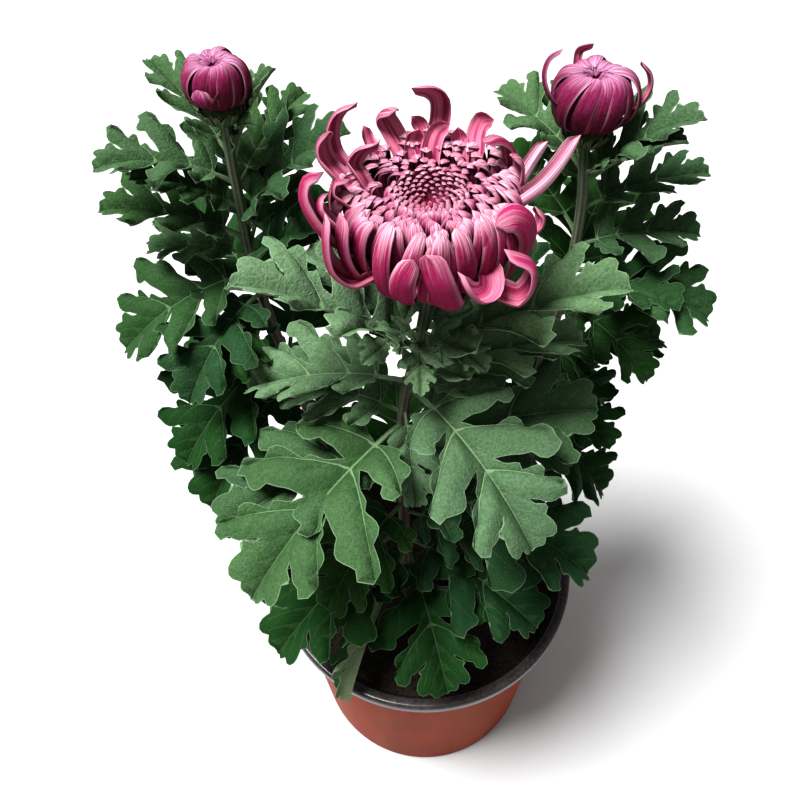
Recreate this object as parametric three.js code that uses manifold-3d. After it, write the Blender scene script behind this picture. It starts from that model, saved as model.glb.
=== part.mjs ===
// A potted chrysanthemum: a plastic nursery pot of soil with three rooted cuttings. Each cutting is a leafy
// stem that carries one flower head: an open incurved bloom in front and a bud at each side.
// Millimetres, +Z up. The origin is the middle of the pot's underside.
import * as THREE from "three";
import { mergeVertices } from "three/addons/utils/BufferGeometryUtils.js";
import Module from "manifold-3d";

const wasm = await Module();
wasm.setup();

// ---- driving dimensions -------------------------------------------------------------------------------

const GAP = 0.3; // between pieces that touch

const pot = {
  height: 165,
  rimRadius: 90,
  rimInnerRadius: 83.6,
  rimHeight: 7,
  rimRound: 1.6,
  shoulderRadius: 82.5, // outside of the wall, just under the rim
  footRadius: 75,
  wall: 1.6,
  floor: 2.2,
  sides: 28,
  drainRadius: 5,
  drainCircle: 48,
  drains: 6,
  drainSides: 10,
};

const soil = {
  top: 150,
  edgeDrop: 3, // how far the edge lies under the middle
  waves: [ // the uneven top: height, waves along x and y in radians per millimetre, start
    [1.3, 0.11, 0.09, 1],
    [0.9, 0.23, -0.19, 0],
  ],
  rings: [20, 42, 62],
};

const stem = {
  sides: 6,
  footDepth: 18, // how far it stands in the soil
  clearOfSoil: 8, // height at which it starts to lean, and the top of its hole
  holeGap: 0.33, // round it, in the soil
  footRadius: 2.9,
  topRadius: 2.2,
};

// Middle line of each stem, from the soil to the flower head.
const STEM_LINES = {
  front: [[-10, -16, 150], [-11, -8, 230], [-9, 0, 325], [-3, 5, 354], [1, 9, 378], [2, 10, 396]],
  left: [[-42, 24, 150], [-62, 44, 260], [-77, 56, 350], [-78, 60, 400], [-77, 60, 436]],
  right: [[42, 24, 150], [60, 44, 260], [72, 56, 350], [73, 60, 385], [69, 60, 421]],
};

// One row for each leaf: height on the stem, azimuth, tilt of its chord, bend along its length, length with
// the stalk, roll about its middle line, upward fold of each half, width as a share of the full outline.
const LEAVES = {
  front: [
    [350, 188, 38, 40, 94, 0, 26, 1.0],
    [354, 148, 32, 40, 66, 0, 16, 1.0],
    [338, 174, -10, 50, 80, -5, 24, 0.9],
    [350, 2, 21, 40, 98, 0, 28, 1.0],
    [358, 48, 34, 40, 72, 6, 16, 1.0],
    [338, 6, 8, 50, 82, 0, 26, 1.0],
    [335, 306, -19, 60, 95, 0, 14, 1.0],
    [312, 228, -12, 50, 110, 0, 14, 1.0],
    [294, 207, -1, 50, 100, 0, 18, 0.9],
    [248, 232, -13, 60, 72, 0, 14, 1.1],
    [240, 332, -10, 50, 58, 0, 14, 1.1],
    [205, 247, -16, 60, 94, 70, 30, 0.8],
    [225, 223, -10, 50, 98, 0, 16, 1.0],
    [212, 284, -17, 50, 88, 6, 14, 1.0],
    [215, 323, -8, 50, 90, 0, 14, 1.0],
    [262, 334, -11, 60, 108, 0, 14, 0.9],
    [285, 1, 19, 50, 100, 20, 14, 1.0],
    [290, 349, 6, 50, 84, 10, 14, 1.0],
    [364, 268, -8, 40, 32, 0, 14, 0.9],
    [368, 220, 2, 40, 34, -10, 14, 0.9],
    [366, 318, -2, 40, 36, 10, 14, 0.9],
    [322, 276, -40, 40, 48, 0, 14, 0.9],
    [240, 92, 4, 50, 88, 0, 8, 1.1],
    [326, 24, 2, 50, 82, 0, 18, 1.0],
    [318, 166, 4, 50, 66, -12, 12, 1.0],
  ],
  left: [
    [418, 137, 32, 30, 52, 0, 16, 0.75],
    [414, 17, 58, 30, 46, 0, 18, 0.85],
    [405, 193, 17, 60, 60, -10, 20, 0.85],
    [392, 196, 31, 40, 50, -10, 14, 0.9],
    [376, 188, 22, 45, 66, -8, 18, 0.85],
    [366, 177, 3, 55, 50, -10, 14, 0.75],
    [345, 240, -15, 60, 68, 0, 16, 1.0],
    [357, 200, -21, 50, 76, -8, 10, 1.0],
    [332, 244, -7, 55, 52, 0, 14, 1.0],
    [310, 228, -19, 50, 79, 0, 14, 1.0],
    [290, 237, -19, 50, 84, 0, 14, 1.0],
    [402, 51, 24, 40, 54, 10, 16, 0.85],
    [385, 356, 42, 40, 70, 10, 16, 1.0],
    [362, 332, 39, 40, 54, 10, 14, 1.0],
    [390, 95, 30, 40, 60, 0, 10, 0.9],
    [340, 125, 5, 50, 80, 0, 10, 1.0],
    [300, 85, 0, 50, 85, 0, 10, 1.0],
    [250, 130, -4, 50, 80, 0, 8, 1.0],
    [214, 95, -4, 50, 66, 0, 8, 1.0],
    [372, 70, 18, 45, 58, 0, 10, 1.0],
    [340, 63, 14, 50, 72, 0, 12, 1.0],
    [276, 155, 0, 50, 80, 0, 8, 1.0],
  ],
  right: [
    [405, 134, 18, 40, 54, 0, 16, 1.05],
    [400, 339, 42, 40, 58, 10, 16, 0.95],
    [385, 4, 13, 40, 58, 10, 20, 0.8],
    [398, 334, 39, 40, 50, 0, 18, 0.9],
    [365, 354, 9, 40, 57, 10, 14, 1.0],
    [352, 339, -11, 60, 72, 6, 12, 1.05],
    [340, 323, 17, 50, 60, 0, 14, 1.0],
    [332, 314, -16, 60, 60, 0, 14, 1.0],
    [305, 335, -43, 50, 50, 0, 14, 1.0],
    [280, 304, 0, 50, 58, 0, 14, 1.0],
    [388, 95, 28, 40, 60, 0, 10, 0.9],
    [340, 65, 5, 50, 80, 0, 10, 1.0],
    [300, 100, 0, 50, 85, 0, 10, 1.0],
    [300, 12, -8, 50, 70, 10, 14, 1.0],
    [250, 331, -36, 50, 68, 0, 14, 1.0],
    [240, 50, -6, 50, 78, 0, 8, 1.0],
    [372, 125, 16, 45, 58, 0, 10, 1.0],
    [318, 150, 2, 50, 74, 0, 8, 1.0],
    [268, 128, -2, 50, 80, 0, 8, 1.0],
  ],
};

// Half of a leaf's outline, as shares of its length: along the middle line, then out from it. The stalk
// comes first, then three lobes with blunt teeth, then the tip lobe.
const LEAF_OUTLINE = [
  [0, 0.013], [0.18, 0.014], [0.215, 0.16], [0.36, 0.28], [0.35, 0.06],
  [0.48, 0.25], [0.62, 0.35], [0.57, 0.07], [0.81, 0.24], [0.79, 0.095], [0.9, 0.13], [1, 0],
];
const LEAF_NOTCHES = [4, 7, 9]; // which of those points are the notches between lobes
const LEAF_THICKNESS = 0.7;
const LEAF_STEPS = 24; // along the curved middle line
const LEAF_DROOP = 0.006; // fall of the blade's edge per square millimetre from the middle line

// ---- flower heads -------------------------------------------------------------------------------------

// Each head: its middle, its radius, how far it reaches down to its seat, the dome's petals in number and
// full width, where their tips end (radius, height), and the loose outer petals: each one's width and the
// points it passes through.
const HEADS = {
  bloom_front: {
    centre: [2, 10, 434],
    radius: 36,
    depth: 33,
    crest: [4, 17],
    tipRadius: [1.5, 21],
    tipHeight: [-1, 7],
    petals: 44,
    petalWidth: 8.2,
    coreRadius: 24,
    coreTop: -6,
    calyxRadius: 9,
    loose: [
      [7, [[2, 28, -1], [6, 35, 7], [6, 37, 16], [2, 35, 21], [-5, 32, 23]]],
      [6.5, [[-9, 24, 0], [-13, 30, 6], [-16, 33, 11], [-15, 31, 16], [-10, 27, 18]]],
      [6, [[-29, 10, 2], [-35, 16, 9], [-35, 19, 17], [-31, 19, 24], [-24, 16, 28]]],
      [6.5, [[-32, 2, 5], [-38, 8, 10], [-39, 10, 16], [-37, 10, 20], [-34, 8, 22]]],
      [4, [[-20, 20, 5], [-22, 24, 8], [-23, 25, 13]]],
      [5, [[0, 30, 2], [-2, 34, 7], [-5, 33, 11]]],
      [6, [[-5, 24, 2], [-4, 27, 6], [-2, 26, 10]]],
      [5.5, [[2, 24, 2], [5, 28, 8], [9, 27, 11]]],
      [5.5, [[14, 22, 2], [13, 26, 6], [12, 25, 11]]],
      [7.5, [[19, 20, 2], [20, 26, 7], [22, 28, 11], [25, 24, 14]]],
      [6, [[27, 10, -2], [32, 14, 4], [30, 14, 11], [24, 10, 17], [19, 6, 17]]],
      [6, [[29, 0, -7], [34, 4, 1], [34, 6, 8], [32, 5, 12], [29, 3, 13]]],
      [5.5, [[34, 10, -7], [40, 16, 0], [45, 20, 7]]],
      [6.5, [[30, -6, -5], [42, 0, 1], [50, 6, 9], [54, 10, 16]]],
      [5, [[33, -12, -12], [40, -10, -9], [41, -8, -4], [37, -8, 0]]],
      [9, [[31, -16, -17], [36, -19, -11], [35, -21, 1], [28, -23, 8], [21, -24, 5]]],
      [8, [[21, -30, -20], [31, -32, -23], [36, -32, -15], [35, -30, -6], [24, -29, -1]]],
      [7, [[20, -28, -14], [19, -34, -17], [14, -37, -16], [9, -38, -8], [8, -35, -5]]],
      [11, [[7, -24, -24], [5, -33, -24], [1, -38, -9], [-3, -33, 4]]],
      [8, [[-9, -28, -19], [-11, -36, -17], [-11, -38, -5], [-7, -34, 2]]],
      [6.5, [[-19, -22, -17], [-29, -25, -19], [-37, -25, -11], [-38, -24, 3], [-36, -20, 10]]],
      [6.5, [[-21, -18, -18], [-29, -21, -18], [-33, -22, -8], [-33, -22, 2], [-31, -19, 9]]],
      [8, [[-36, -16, -8], [-43, -14, 1], [-46, -10, 10], [-43, -7, 16], [-36, -6, 16]]],
      [6, [[-33, -16, -3], [-38, -14, 2], [-40, -12, 7], [-38, -10, 10], [-35, -10, 10]]],
      [6, [[-30, -8, 3], [-34, -6, 6], [-33, -4, 11], [-27, -4, 11]]],
      [7, [[-25, 4, 5], [-28, 9, 8], [-24, 10, 14], [-17, 8, 17]]],
    ],
  },
  bud_left: {
    centre: [-77, 60, 453],
    radius: 14,
    depth: 10.3,
    crest: [9, 13],
    tipRadius: [2.5, 5.5],
    tipHeight: [5, 7],
    petals: 22,
    petalWidth: 4.2,
    coreRadius: 10.5,
    coreTop: 5,
    calyxRadius: 7,
    loose: [[5, [[-1, -14, 1], [-2, -17, 0], [-3, -18, 3], [-3, -16, 6]]]],
  },
  bud_right: {
    centre: [69, 60, 440],
    radius: 18.6,
    depth: 12.7,
    crest: [12, 17],
    tipRadius: [1, 4],
    tipHeight: [7, 10],
    petals: 22,
    petalWidth: 5.2,
    coreRadius: 14.5,
    coreTop: 8.5,
    calyxRadius: 8,
    loose: [
      [4, [[-19, -7, 4], [-22, -4, 12], [-20, -2, 18], [-15, -2, 21]]],
      [4, [[18, -4, -3], [22, -2, 4], [21, 0, 9], [16, 0, 14]]],
      [4, [[-6, 12, 8], [-5, 14, 12], [0, 12, 15]]],
    ],
  },
};
const HEAD_ON_STEM = { front: "bloom_front", left: "bud_left", right: "bud_right" };

// How the dome's petals are set out. Shares are of the head's own sizes.
const dome = {
  steps: 4,
  innerReach: 0.25, // how far the innermost petals reach, against the outermost
  rootRadius: 0.45, // of the core's radius
  rootDrop: 4, // how far under the core's top the innermost petals are rooted
  rootFall: 1.6, // how soon, going outwards, the roots come down to the bottom of the head
  lowHandle: [1.24, 0.6], // the curve's lower handle: radius, and its fall towards the bottom
  highHandle: 1.16, // radius of the curve's upper handle
  tipSpread: 0.75, // power by which the tips spread from the middle of the whorl
  innerWidth: 0.4, // width of the innermost petals, against the outermost
  widthSpread: 0.8,
};
const loose = {
  steps: 5,
  rootRadius: 0.5, // of the core's radius
  rootRise: 0.25, // how high the root is between the bottom of the head and the core's top
};
const core = {
  sides: 10,
  seatDepth: 1, // between the bottom of the petals and the seat
  rings: [[0, 0.42], [0.25, 0.85], [0.6, 1], [0.85, 0.75], [1, 0.3]], // height, radius, as shares
};
const PETAL_THICKNESS = 0.9;
const PETAL_ROOT_WIDTH = 0.3; // as a share of the full width
const PETAL_ARC = [0.08, 0.88]; // the stretch of a half wave that the width follows from root to tip
const CHANNEL_DEPTH = 0.6; // how far a loose petal's middle lies outside its edges
const GOLDEN_ANGLE = Math.PI * (3 - Math.sqrt(5));

const calyx = {
  sides: 10,
  height: 8,
  neck: 1.15, // of the stem's top radius
  rings: [[0.6, 0.6], [0.25, 0.95], [0, 1]], // depth under the top and radius, as shares
  scales: 8,
  scaleRoot: [0.4, 0.62], // radius and depth of a scale's root, as shares
  scaleTip: [0.9, 0.04],
  scaleReach: 4.2, // how far a scale's tip stands out past that
  scaleTaper: 0.3,
  scaleWidth: 4.4,
  scaleThickness: 0.8,
};

// ---- shared helpers -----------------------------------------------------------------------------------

const radians = THREE.MathUtils.degToRad;
const vector = ([x, y, z]) => new THREE.Vector3(x, y, z);
const mix = (from, to, share) => from + (to - from) * share;

// A closed BufferGeometry as a manifold-3d solid.
function solid(geometry) {
  const bare = new THREE.BufferGeometry();
  bare.setAttribute("position", geometry.getAttribute("position").clone());
  if (geometry.index) bare.setIndex(geometry.index.clone());
  const merged = mergeVertices(bare, 1e-4);
  const made = new wasm.Manifold(
    new wasm.Mesh({
      numProp: 3,
      vertProperties: merged.attributes.position.array,
      triVerts: new Uint32Array(merged.index.array),
    }),
  );
  if (made.volume() <= 0) throw new Error("a piece is inside out or empty");
  return made;
}

// A solid from a list of Vector3 points and a list of triangles, each three indices.
function solidFrom(points, triangles) {
  const geometry = new THREE.BufferGeometry().setFromPoints(points);
  geometry.setIndex(triangles.flat());
  return solid(geometry);
}

function geometryOf(manifold) {
  const mesh = manifold.getMesh();
  const geometry = new THREE.BufferGeometry();
  geometry.setAttribute("position", new THREE.BufferAttribute(new Float32Array(mesh.vertProperties), 3));
  geometry.setIndex(new THREE.BufferAttribute(new Uint32Array(mesh.triVerts), 1));
  geometry.computeVertexNormals();
  return geometry;
}

// Joins a list of solids pair by pair, which is quicker than one after the other.
function join(solids) {
  if (solids.length === 1) return solids[0];
  const half = solids.length >> 1;
  return join(solids.slice(0, half)).add(join(solids.slice(half)));
}

// Skins a list of rings, each the same number of points, and closes both ends with a flat fan.
function loft(rings) {
  const count = rings[0].length;
  const triangles = [];
  for (let ring = 0; ring < rings.length - 1; ring += 1) {
    for (let side = 0; side < count; side += 1) {
      const next = (side + 1) % count;
      const a = ring * count + side;
      const b = ring * count + next;
      triangles.push([a, b, b + count], [a, b + count, a + count]);
    }
  }
  const last = (rings.length - 1) * count;
  for (let side = 1; side < count - 1; side += 1) {
    triangles.push([0, side + 1, side]);
    triangles.push([last, last + side, last + side + 1]);
  }
  return solidFrom(rings.flat(), triangles);
}

// ---- leaves -------------------------------------------------------------------------------------------

// The leaf's middle line as frames: point, tangent, side and normal at even steps along its length.
function leafFrames([, azimuth, tilt, bend, length, roll], base) {
  const steps = LEAF_STEPS;
  const out = new THREE.Vector3(Math.cos(radians(azimuth)), Math.sin(radians(azimuth)), 0);
  const up = new THREE.Vector3(0, 0, 1);
  const heading = (angle) =>
    out.clone().multiplyScalar(Math.cos(angle)).addScaledVector(up, Math.sin(angle));
  const angleAt = (share) => radians(tilt + bend * (0.5 - share));
  const point = base.clone();
  const frames = [];
  for (let step = 0; step <= steps; step += 1) {
    const tangent = heading(angleAt(step / steps));
    const level = new THREE.Vector3().crossVectors(up, out);
    const lift = new THREE.Vector3().crossVectors(tangent, level);
    const turn = radians(roll);
    const side = level.clone().multiplyScalar(Math.cos(turn)).addScaledVector(lift, Math.sin(turn));
    const normal = lift.clone().multiplyScalar(Math.cos(turn)).addScaledVector(level, -Math.sin(turn));
    frames.push({ point: point.clone(), side, normal });
    point.addScaledVector(heading(angleAt((step + 0.5) / steps)), length / steps);
  }
  return frames;
}

// A point of the leaf's middle surface: along is a share of its length, across is in millimetres.
function leafPoint(frames, along, across, fold) {
  const steps = frames.length - 1;
  const place = THREE.MathUtils.clamp(along, 0, 1) * steps;
  const step = Math.min(Math.floor(place), steps - 1);
  const share = place - step;
  const at = (key) => frames[step][key].clone().lerp(frames[step + 1][key], share);
  const normal = at("normal").normalize();
  const rise = Math.abs(across) * Math.sin(radians(fold)) - LEAF_DROOP * across * across;
  const point = at("point").addScaledVector(at("side"), across * Math.cos(radians(fold)));
  return { point: point.addScaledVector(normal, rise), normal };
}

// The flat blade's points, its outline first, and its triangles. It is cut up a lobe at a time, each with the
// stretch of middle line beside it, so that no triangle lies along the curved middle line.
function flatLeaf() {
  const tip = LEAF_OUTLINE.length - 1;
  const otherHalf = LEAF_OUTLINE.slice(0, tip).reverse().map(([along, out]) => [along, -out]);
  const outline = [...LEAF_OUTLINE, ...otherHalf];
  const rim = outline.length;
  const mirrored = (index) => (index < rim ? rim - 1 - index : index);
  const points = [...outline, ...LEAF_NOTCHES.map((notch) => [LEAF_OUTLINE[notch][0], 0])].map(
    ([along, out]) => new THREE.Vector2(along, out),
  );
  const ends = [1, ...LEAF_NOTCHES, tip];
  const lobes = ends.slice(1).map((end, lobe) => {
    const edge = [...Array(end - ends[lobe] + 1).keys()].map((index) => ends[lobe] + index);
    const middle = [rim + lobe, rim + lobe - 1].filter((index) => index >= rim && index < points.length);
    return [...edge, ...middle];
  });
  const stalk = [0, 1, mirrored(1), mirrored(0)];
  const neck = [1, rim, mirrored(1)];
  const loops = [stalk, neck, ...lobes, ...lobes.map((loop) => loop.map(mirrored))];
  const area = ([a, b, c]) => points[b].clone().sub(points[a]).cross(points[c].clone().sub(points[a]));
  const triangles = loops
    .flatMap((loop) =>
      THREE.ShapeUtils.triangulateShape(loop.map((index) => points[index]), []).map((face) =>
        face.map((corner) => loop[corner]),
      ),
    )
    .map((face) => (area(face) > 0 ? face : face.reverse()));
  return { points, triangles, rim };
}

// A leaf's upper and lower face have the same triangles, with a thin wall round the edge.
function leaf(row, base) {
  const [, , , , length, , fold, width] = row;
  const frames = leafFrames(row, base);
  const { points: flat, triangles: upper, rim } = flatLeaf();
  const placed = flat.map(({ x, y }) => leafPoint(frames, x, y * width * length, fold));
  const points = [LEAF_THICKNESS / 2, -LEAF_THICKNESS / 2].flatMap((offset) =>
    placed.map(({ point, normal }) => point.clone().addScaledVector(normal, offset)),
  );
  const count = flat.length;
  const lower = upper.map(([a, b, c]) => [a + count, c + count, b + count]);
  const wall = [];
  for (let index = 0; index < rim; index += 1) {
    const next = (index + 1) % rim;
    wall.push([index, next, next + count], [index, next + count, index + count]);
  }
  return solidFrom(points, [...upper, ...lower, ...wall]);
}

// ---- stems --------------------------------------------------------------------------------------------

function stemPoint(line, height) {
  const above = line.findIndex((point) => point[2] >= height);
  const upper = line[Math.max(above, 1)];
  const lower = line[Math.max(above, 1) - 1];
  return vector(lower).lerp(vector(upper), (height - lower[2]) / (upper[2] - lower[2]));
}

// A level ring of points round a centre.
function levelRing(centre, radius, sides) {
  return [...Array(sides).keys()].map((side) => {
    const angle = (side / sides) * Math.PI * 2;
    return new THREE.Vector3(
      centre.x + radius * Math.cos(angle),
      centre.y + radius * Math.sin(angle),
      centre.z,
    );
  });
}

// The stem stands upright in the soil, then follows its line up to the flower head.
function stemSolid(line) {
  const foot = vector(line[0]);
  const buried = foot.clone().setZ(foot.z - stem.footDepth);
  const ground = foot.clone().setZ(foot.z + stem.clearOfSoil / 2);
  const places = [buried, ground, ...line.slice(1).map(vector)];
  const rise = places.at(-1).z - buried.z;
  const radiusAt = ({ z }) => mix(stem.footRadius, stem.topRadius, Math.max(0, z - ground.z) / rise);
  return loft(places.map((place) => levelRing(place, radiusAt(place), stem.sides)));
}

// Where a head sits on its cup: the flat underside of its core.
const seatHeight = (head) => head.centre[2] - head.depth - core.seatDepth - PETAL_THICKNESS / 2;

// The green cup under a flower head, with a ring of small scales round it.
function calyxPieces(head) {
  const [x, y] = head.centre;
  const top = seatHeight(head) - GAP;
  const ring = (depth, radius) =>
    levelRing(new THREE.Vector3(x, y, top - depth * calyx.height), radius, calyx.sides);
  const cup = loft([
    ring(1, stem.topRadius * calyx.neck),
    ...calyx.rings.map(([depth, radius]) => ring(depth, radius * head.calyxRadius)),
  ]);
  const scales = [...Array(calyx.scales).keys()].map((index) => {
    const angle = ((index + 0.5) / calyx.scales) * Math.PI * 2;
    const out = new THREE.Vector3(Math.cos(angle), Math.sin(angle), 0);
    const side = new THREE.Vector3(-Math.sin(angle), Math.cos(angle), 0);
    const section = ([radius, depth], reach, width) => {
      const at = (down, across) =>
        new THREE.Vector3(x, y, top - depth * calyx.height - down)
          .addScaledVector(out, radius * head.calyxRadius + reach)
          .addScaledVector(side, across);
      const under = calyx.scaleThickness;
      return [at(under, -width), at(under, width), at(0, width), at(0, -width)];
    };
    const half = calyx.scaleWidth / 2;
    return loft([
      section(calyx.scaleRoot, 0, half),
      section(calyx.scaleTip, calyx.scaleReach, half * calyx.scaleTaper),
    ]);
  });
  return [cup, ...scales];
}

function leafyStem(name) {
  const line = STEM_LINES[name];
  const head = HEADS[HEAD_ON_STEM[name]];
  const leaves = LEAVES[name].map((row) => leaf(row, stemPoint(line, row[0])));
  return join([stemSolid(line), ...calyxPieces(head), ...leaves]);
}

// ---- petals -------------------------------------------------------------------------------------------

// Half a petal's width at a share of its length: narrow at its root and widest past its middle.
const petalHalfWidth = (width, share) =>
  (width / 2) * mix(PETAL_ROOT_WIDTH, 1, Math.sin(Math.PI * mix(...PETAL_ARC, share)));

// A pointed petal along a curve, starting square to the given side. A plain one has three corners, its flat
// face inwards and its ridge outwards. A channelled one is folded along its middle, with the same triangles
// inside and out, so that it can twist.
function petal(curve, width, startSide, steps, channelled) {
  const side = startSide.clone();
  const rings = [];
  for (let step = 0; step < steps; step += 1) {
    const share = step / steps;
    const tangent = curve.getTangent(share);
    side.addScaledVector(tangent, -side.dot(tangent)).normalize();
    const back = new THREE.Vector3().crossVectors(side, tangent);
    const half = petalHalfWidth(width, share);
    const at = (across, outwards) =>
      curve.getPoint(share).addScaledVector(side, across).addScaledVector(back, outwards);
    const keel = channelled ? [at(0, CHANNEL_DEPTH)] : [];
    rings.push([at(half, 0), ...keel, at(-half, 0), at(0, PETAL_THICKNESS + keel.length * CHANNEL_DEPTH)]);
  }
  const corners = rings[0].length;
  const points = [...rings.flat(), curve.getPoint(1)];
  const tip = points.length - 1;
  const triangles = channelled ? [[0, 3, 1], [1, 3, 2]] : [[0, 2, 1]];
  for (let ring = 0; ring < rings.length; ring += 1) {
    for (let corner = 0; corner < corners; corner += 1) {
      const a = ring * corners + corner;
      const b = ring * corners + ((corner + 1) % corners);
      if (ring === rings.length - 1) triangles.push([a, b, tip]);
      else if (channelled && corner % 2) triangles.push([a, b, a + corners], [b, b + corners, a + corners]);
      else triangles.push([a, b, b + corners], [a, b + corners, a + corners]);
    }
  }
  return solidFrom(points, triangles);
}

// The dome's petals follow the spiral of a seed head. Share runs from 0 at the middle to 1 outside. Each
// leaves the core, swings out and up, and turns back in so that its tip lies in the whorl on top.
function domePetal(head, index) {
  const share = (index + 0.5) / head.petals;
  const angle = index * GOLDEN_ANGLE;
  const out = new THREE.Vector3(Math.cos(angle), Math.sin(angle), 0);
  const reach = mix(dome.innerReach, 1, share);
  const bottom = -head.depth;
  const root = mix(head.coreTop - dome.rootDrop, bottom, Math.min(1, share * dome.rootFall));
  const tipRadius = mix(...head.tipRadius, share ** dome.tipSpread);
  const at = (radius, height) =>
    vector(head.centre).addScaledVector(out, radius).add(new THREE.Vector3(0, 0, height));
  const [lowRadius, lowFall] = dome.lowHandle;
  const curve = new THREE.CubicBezierCurve3(
    at(head.coreRadius * dome.rootRadius * reach, root),
    at(head.radius * lowRadius * reach, mix(root, bottom, lowFall * share)),
    at(mix(tipRadius, head.radius * dome.highHandle, reach), mix(...head.crest, share)),
    at(tipRadius, mix(...head.tipHeight, share)),
  );
  const side = new THREE.Vector3(-Math.sin(angle), Math.cos(angle), 0);
  const width = head.petalWidth * mix(dome.innerWidth, 1, share ** dome.widthSpread);
  return petal(curve, width, side, dome.steps, false);
}

// A loose petal starts in the core, on the side it leans to, and passes through its own points.
function loosePetal(head, [width, through]) {
  const [x, y] = through[0];
  const angle = Math.atan2(y, x);
  const radius = head.coreRadius * loose.rootRadius;
  const root = [
    radius * Math.cos(angle), radius * Math.sin(angle), mix(-head.depth, head.coreTop, loose.rootRise),
  ];
  const points = [root, ...through].map((point) => vector(point).add(vector(head.centre)));
  const curve = new THREE.CatmullRomCurve3(points, false, "centripetal");
  const side = new THREE.Vector3(-Math.sin(angle), Math.cos(angle), 0);
  return petal(curve, width, side, loose.steps, true);
}

// The head's core: a rounded block under the petals, with a flat seat that rests on the calyx.
function headCore(head) {
  const [x, y, z] = head.centre;
  return loft(
    core.rings.map(([share, radius]) => {
      const height = mix(seatHeight(head), z + head.coreTop, share);
      return levelRing(new THREE.Vector3(x, y, height), radius * head.coreRadius, core.sides);
    }),
  );
}

function flowerHead(name) {
  const head = HEADS[name];
  const whorl = [...Array(head.petals).keys()].map((index) => domePetal(head, index));
  const outer = head.loose.map((row) => loosePetal(head, row));
  return join([headCore(head), ...whorl, ...outer]);
}

// ---- pot and soil -------------------------------------------------------------------------------------

function lathe(profile) {
  return solid(new THREE.LatheGeometry(profile.map(([r, z]) => new THREE.Vector2(r, z)), pot.sides)
    .rotateX(Math.PI / 2));
}

// Inside radius of the pot's wall at a height.
function potInside(height) {
  const under = pot.height - pot.rimHeight;
  return mix(pot.footRadius, pot.shoulderRadius, height / under) - pot.wall;
}

function potSolid() {
  const { height, rimRadius, rimInnerRadius, rimHeight, rimRound } = pot;
  const under = height - rimHeight;
  const shell = lathe([
    [0, 0],
    [pot.footRadius, 0],
    [pot.shoulderRadius, under],
    [rimRadius - rimRound, under],
    [rimRadius, under + rimRound],
    [rimRadius, height - rimRound],
    [rimRadius - rimRound, height],
    [rimInnerRadius + rimRound, height],
    [rimInnerRadius, height - rimRound],
    [potInside(under), under],
    [potInside(pot.floor), pot.floor],
    [0, pot.floor],
  ]);
  const drains = [...Array(pot.drains).keys()].map((index) => {
    const angle = (index / pot.drains) * Math.PI * 2;
    const hole = new THREE.CylinderGeometry(pot.drainRadius, pot.drainRadius, 3 * pot.floor, pot.drainSides);
    hole.rotateX(Math.PI / 2);
    hole.translate(pot.drainCircle * Math.cos(angle), pot.drainCircle * Math.sin(angle), pot.floor / 2);
    return solid(hole);
  });
  return shell.subtract(join(drains));
}

// The soil fills the pot, with an uneven top and a plain hole for each stem.
function soilSolid() {
  const bottom = pot.floor + GAP;
  const edge = soil.top - soil.edgeDrop;
  const outer = (height) => potInside(height) - GAP;
  const lump = ({ x, y }) =>
    soil.waves.reduce((sum, [height, alongX, alongY, start]) =>
      sum + height * Math.sin(x * alongX + y * alongY + start), 0);
  const flatRing = (radius, height) => levelRing(new THREE.Vector3(0, 0, height), radius, pot.sides);
  const topRings = [...soil.rings].reverse().map((radius) =>
    flatRing(radius, soil.top).map((point) => point.setZ(soil.top + lump(point))),
  );
  const body = loft([flatRing(outer(bottom), bottom), flatRing(outer(edge), edge), ...topRings]);
  const holes = Object.values(STEM_LINES).map(([[x, y, z]]) => {
    const radius = stem.footRadius + stem.holeGap;
    const low = new THREE.Vector3(x, y, z - stem.footDepth - GAP);
    const high = new THREE.Vector3(x, y, z + stem.clearOfSoil);
    return loft([levelRing(low, radius, stem.sides), levelRing(high, radius, stem.sides)]);
  });
  return body.subtract(join(holes));
}

// ---- assembly -----------------------------------------------------------------------------------------

const PLASTIC = { color: 0xb4603f, roughness: 0.5, metalness: 0 };
const PEAT = { color: 0x1d1714, roughness: 1, metalness: 0 };
const FOLIAGE = { color: 0x2f5538, roughness: 0.7, metalness: 0 };
const PETALS = { color: 0xa83c69, roughness: 0.55, metalness: 0 };

const plant = new THREE.Group();

function place(name, manifold, finish) {
  const mesh = new THREE.Mesh(geometryOf(manifold), new THREE.MeshStandardMaterial(finish));
  mesh.name = name;
  plant.add(mesh);
}

place("pot", potSolid(), PLASTIC);
place("soil", soilSolid(), PEAT);
for (const name of Object.keys(STEM_LINES)) place("leafy_stem_" + name, leafyStem(name), FOLIAGE);
for (const name of Object.keys(HEADS)) place(name, flowerHead(name), PETALS);

export default plant;
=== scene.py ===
"""A potted chrysanthemum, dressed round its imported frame.

Sizes of the plant and pot are in millimetres, as on a drawing, and every mesh is made in metres, +Z up.
Leaves, loose petals, the cups and the pot are modelled in mesh code. Stems, petal whorls, bracts, crumbs of
soil and the down on the stems are grown by Geometry Nodes.
"""

import math
import random

import bpy
import numpy as np
from mathutils import Matrix, Vector
from mathutils.geometry import delaunay_2d_cdt


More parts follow.
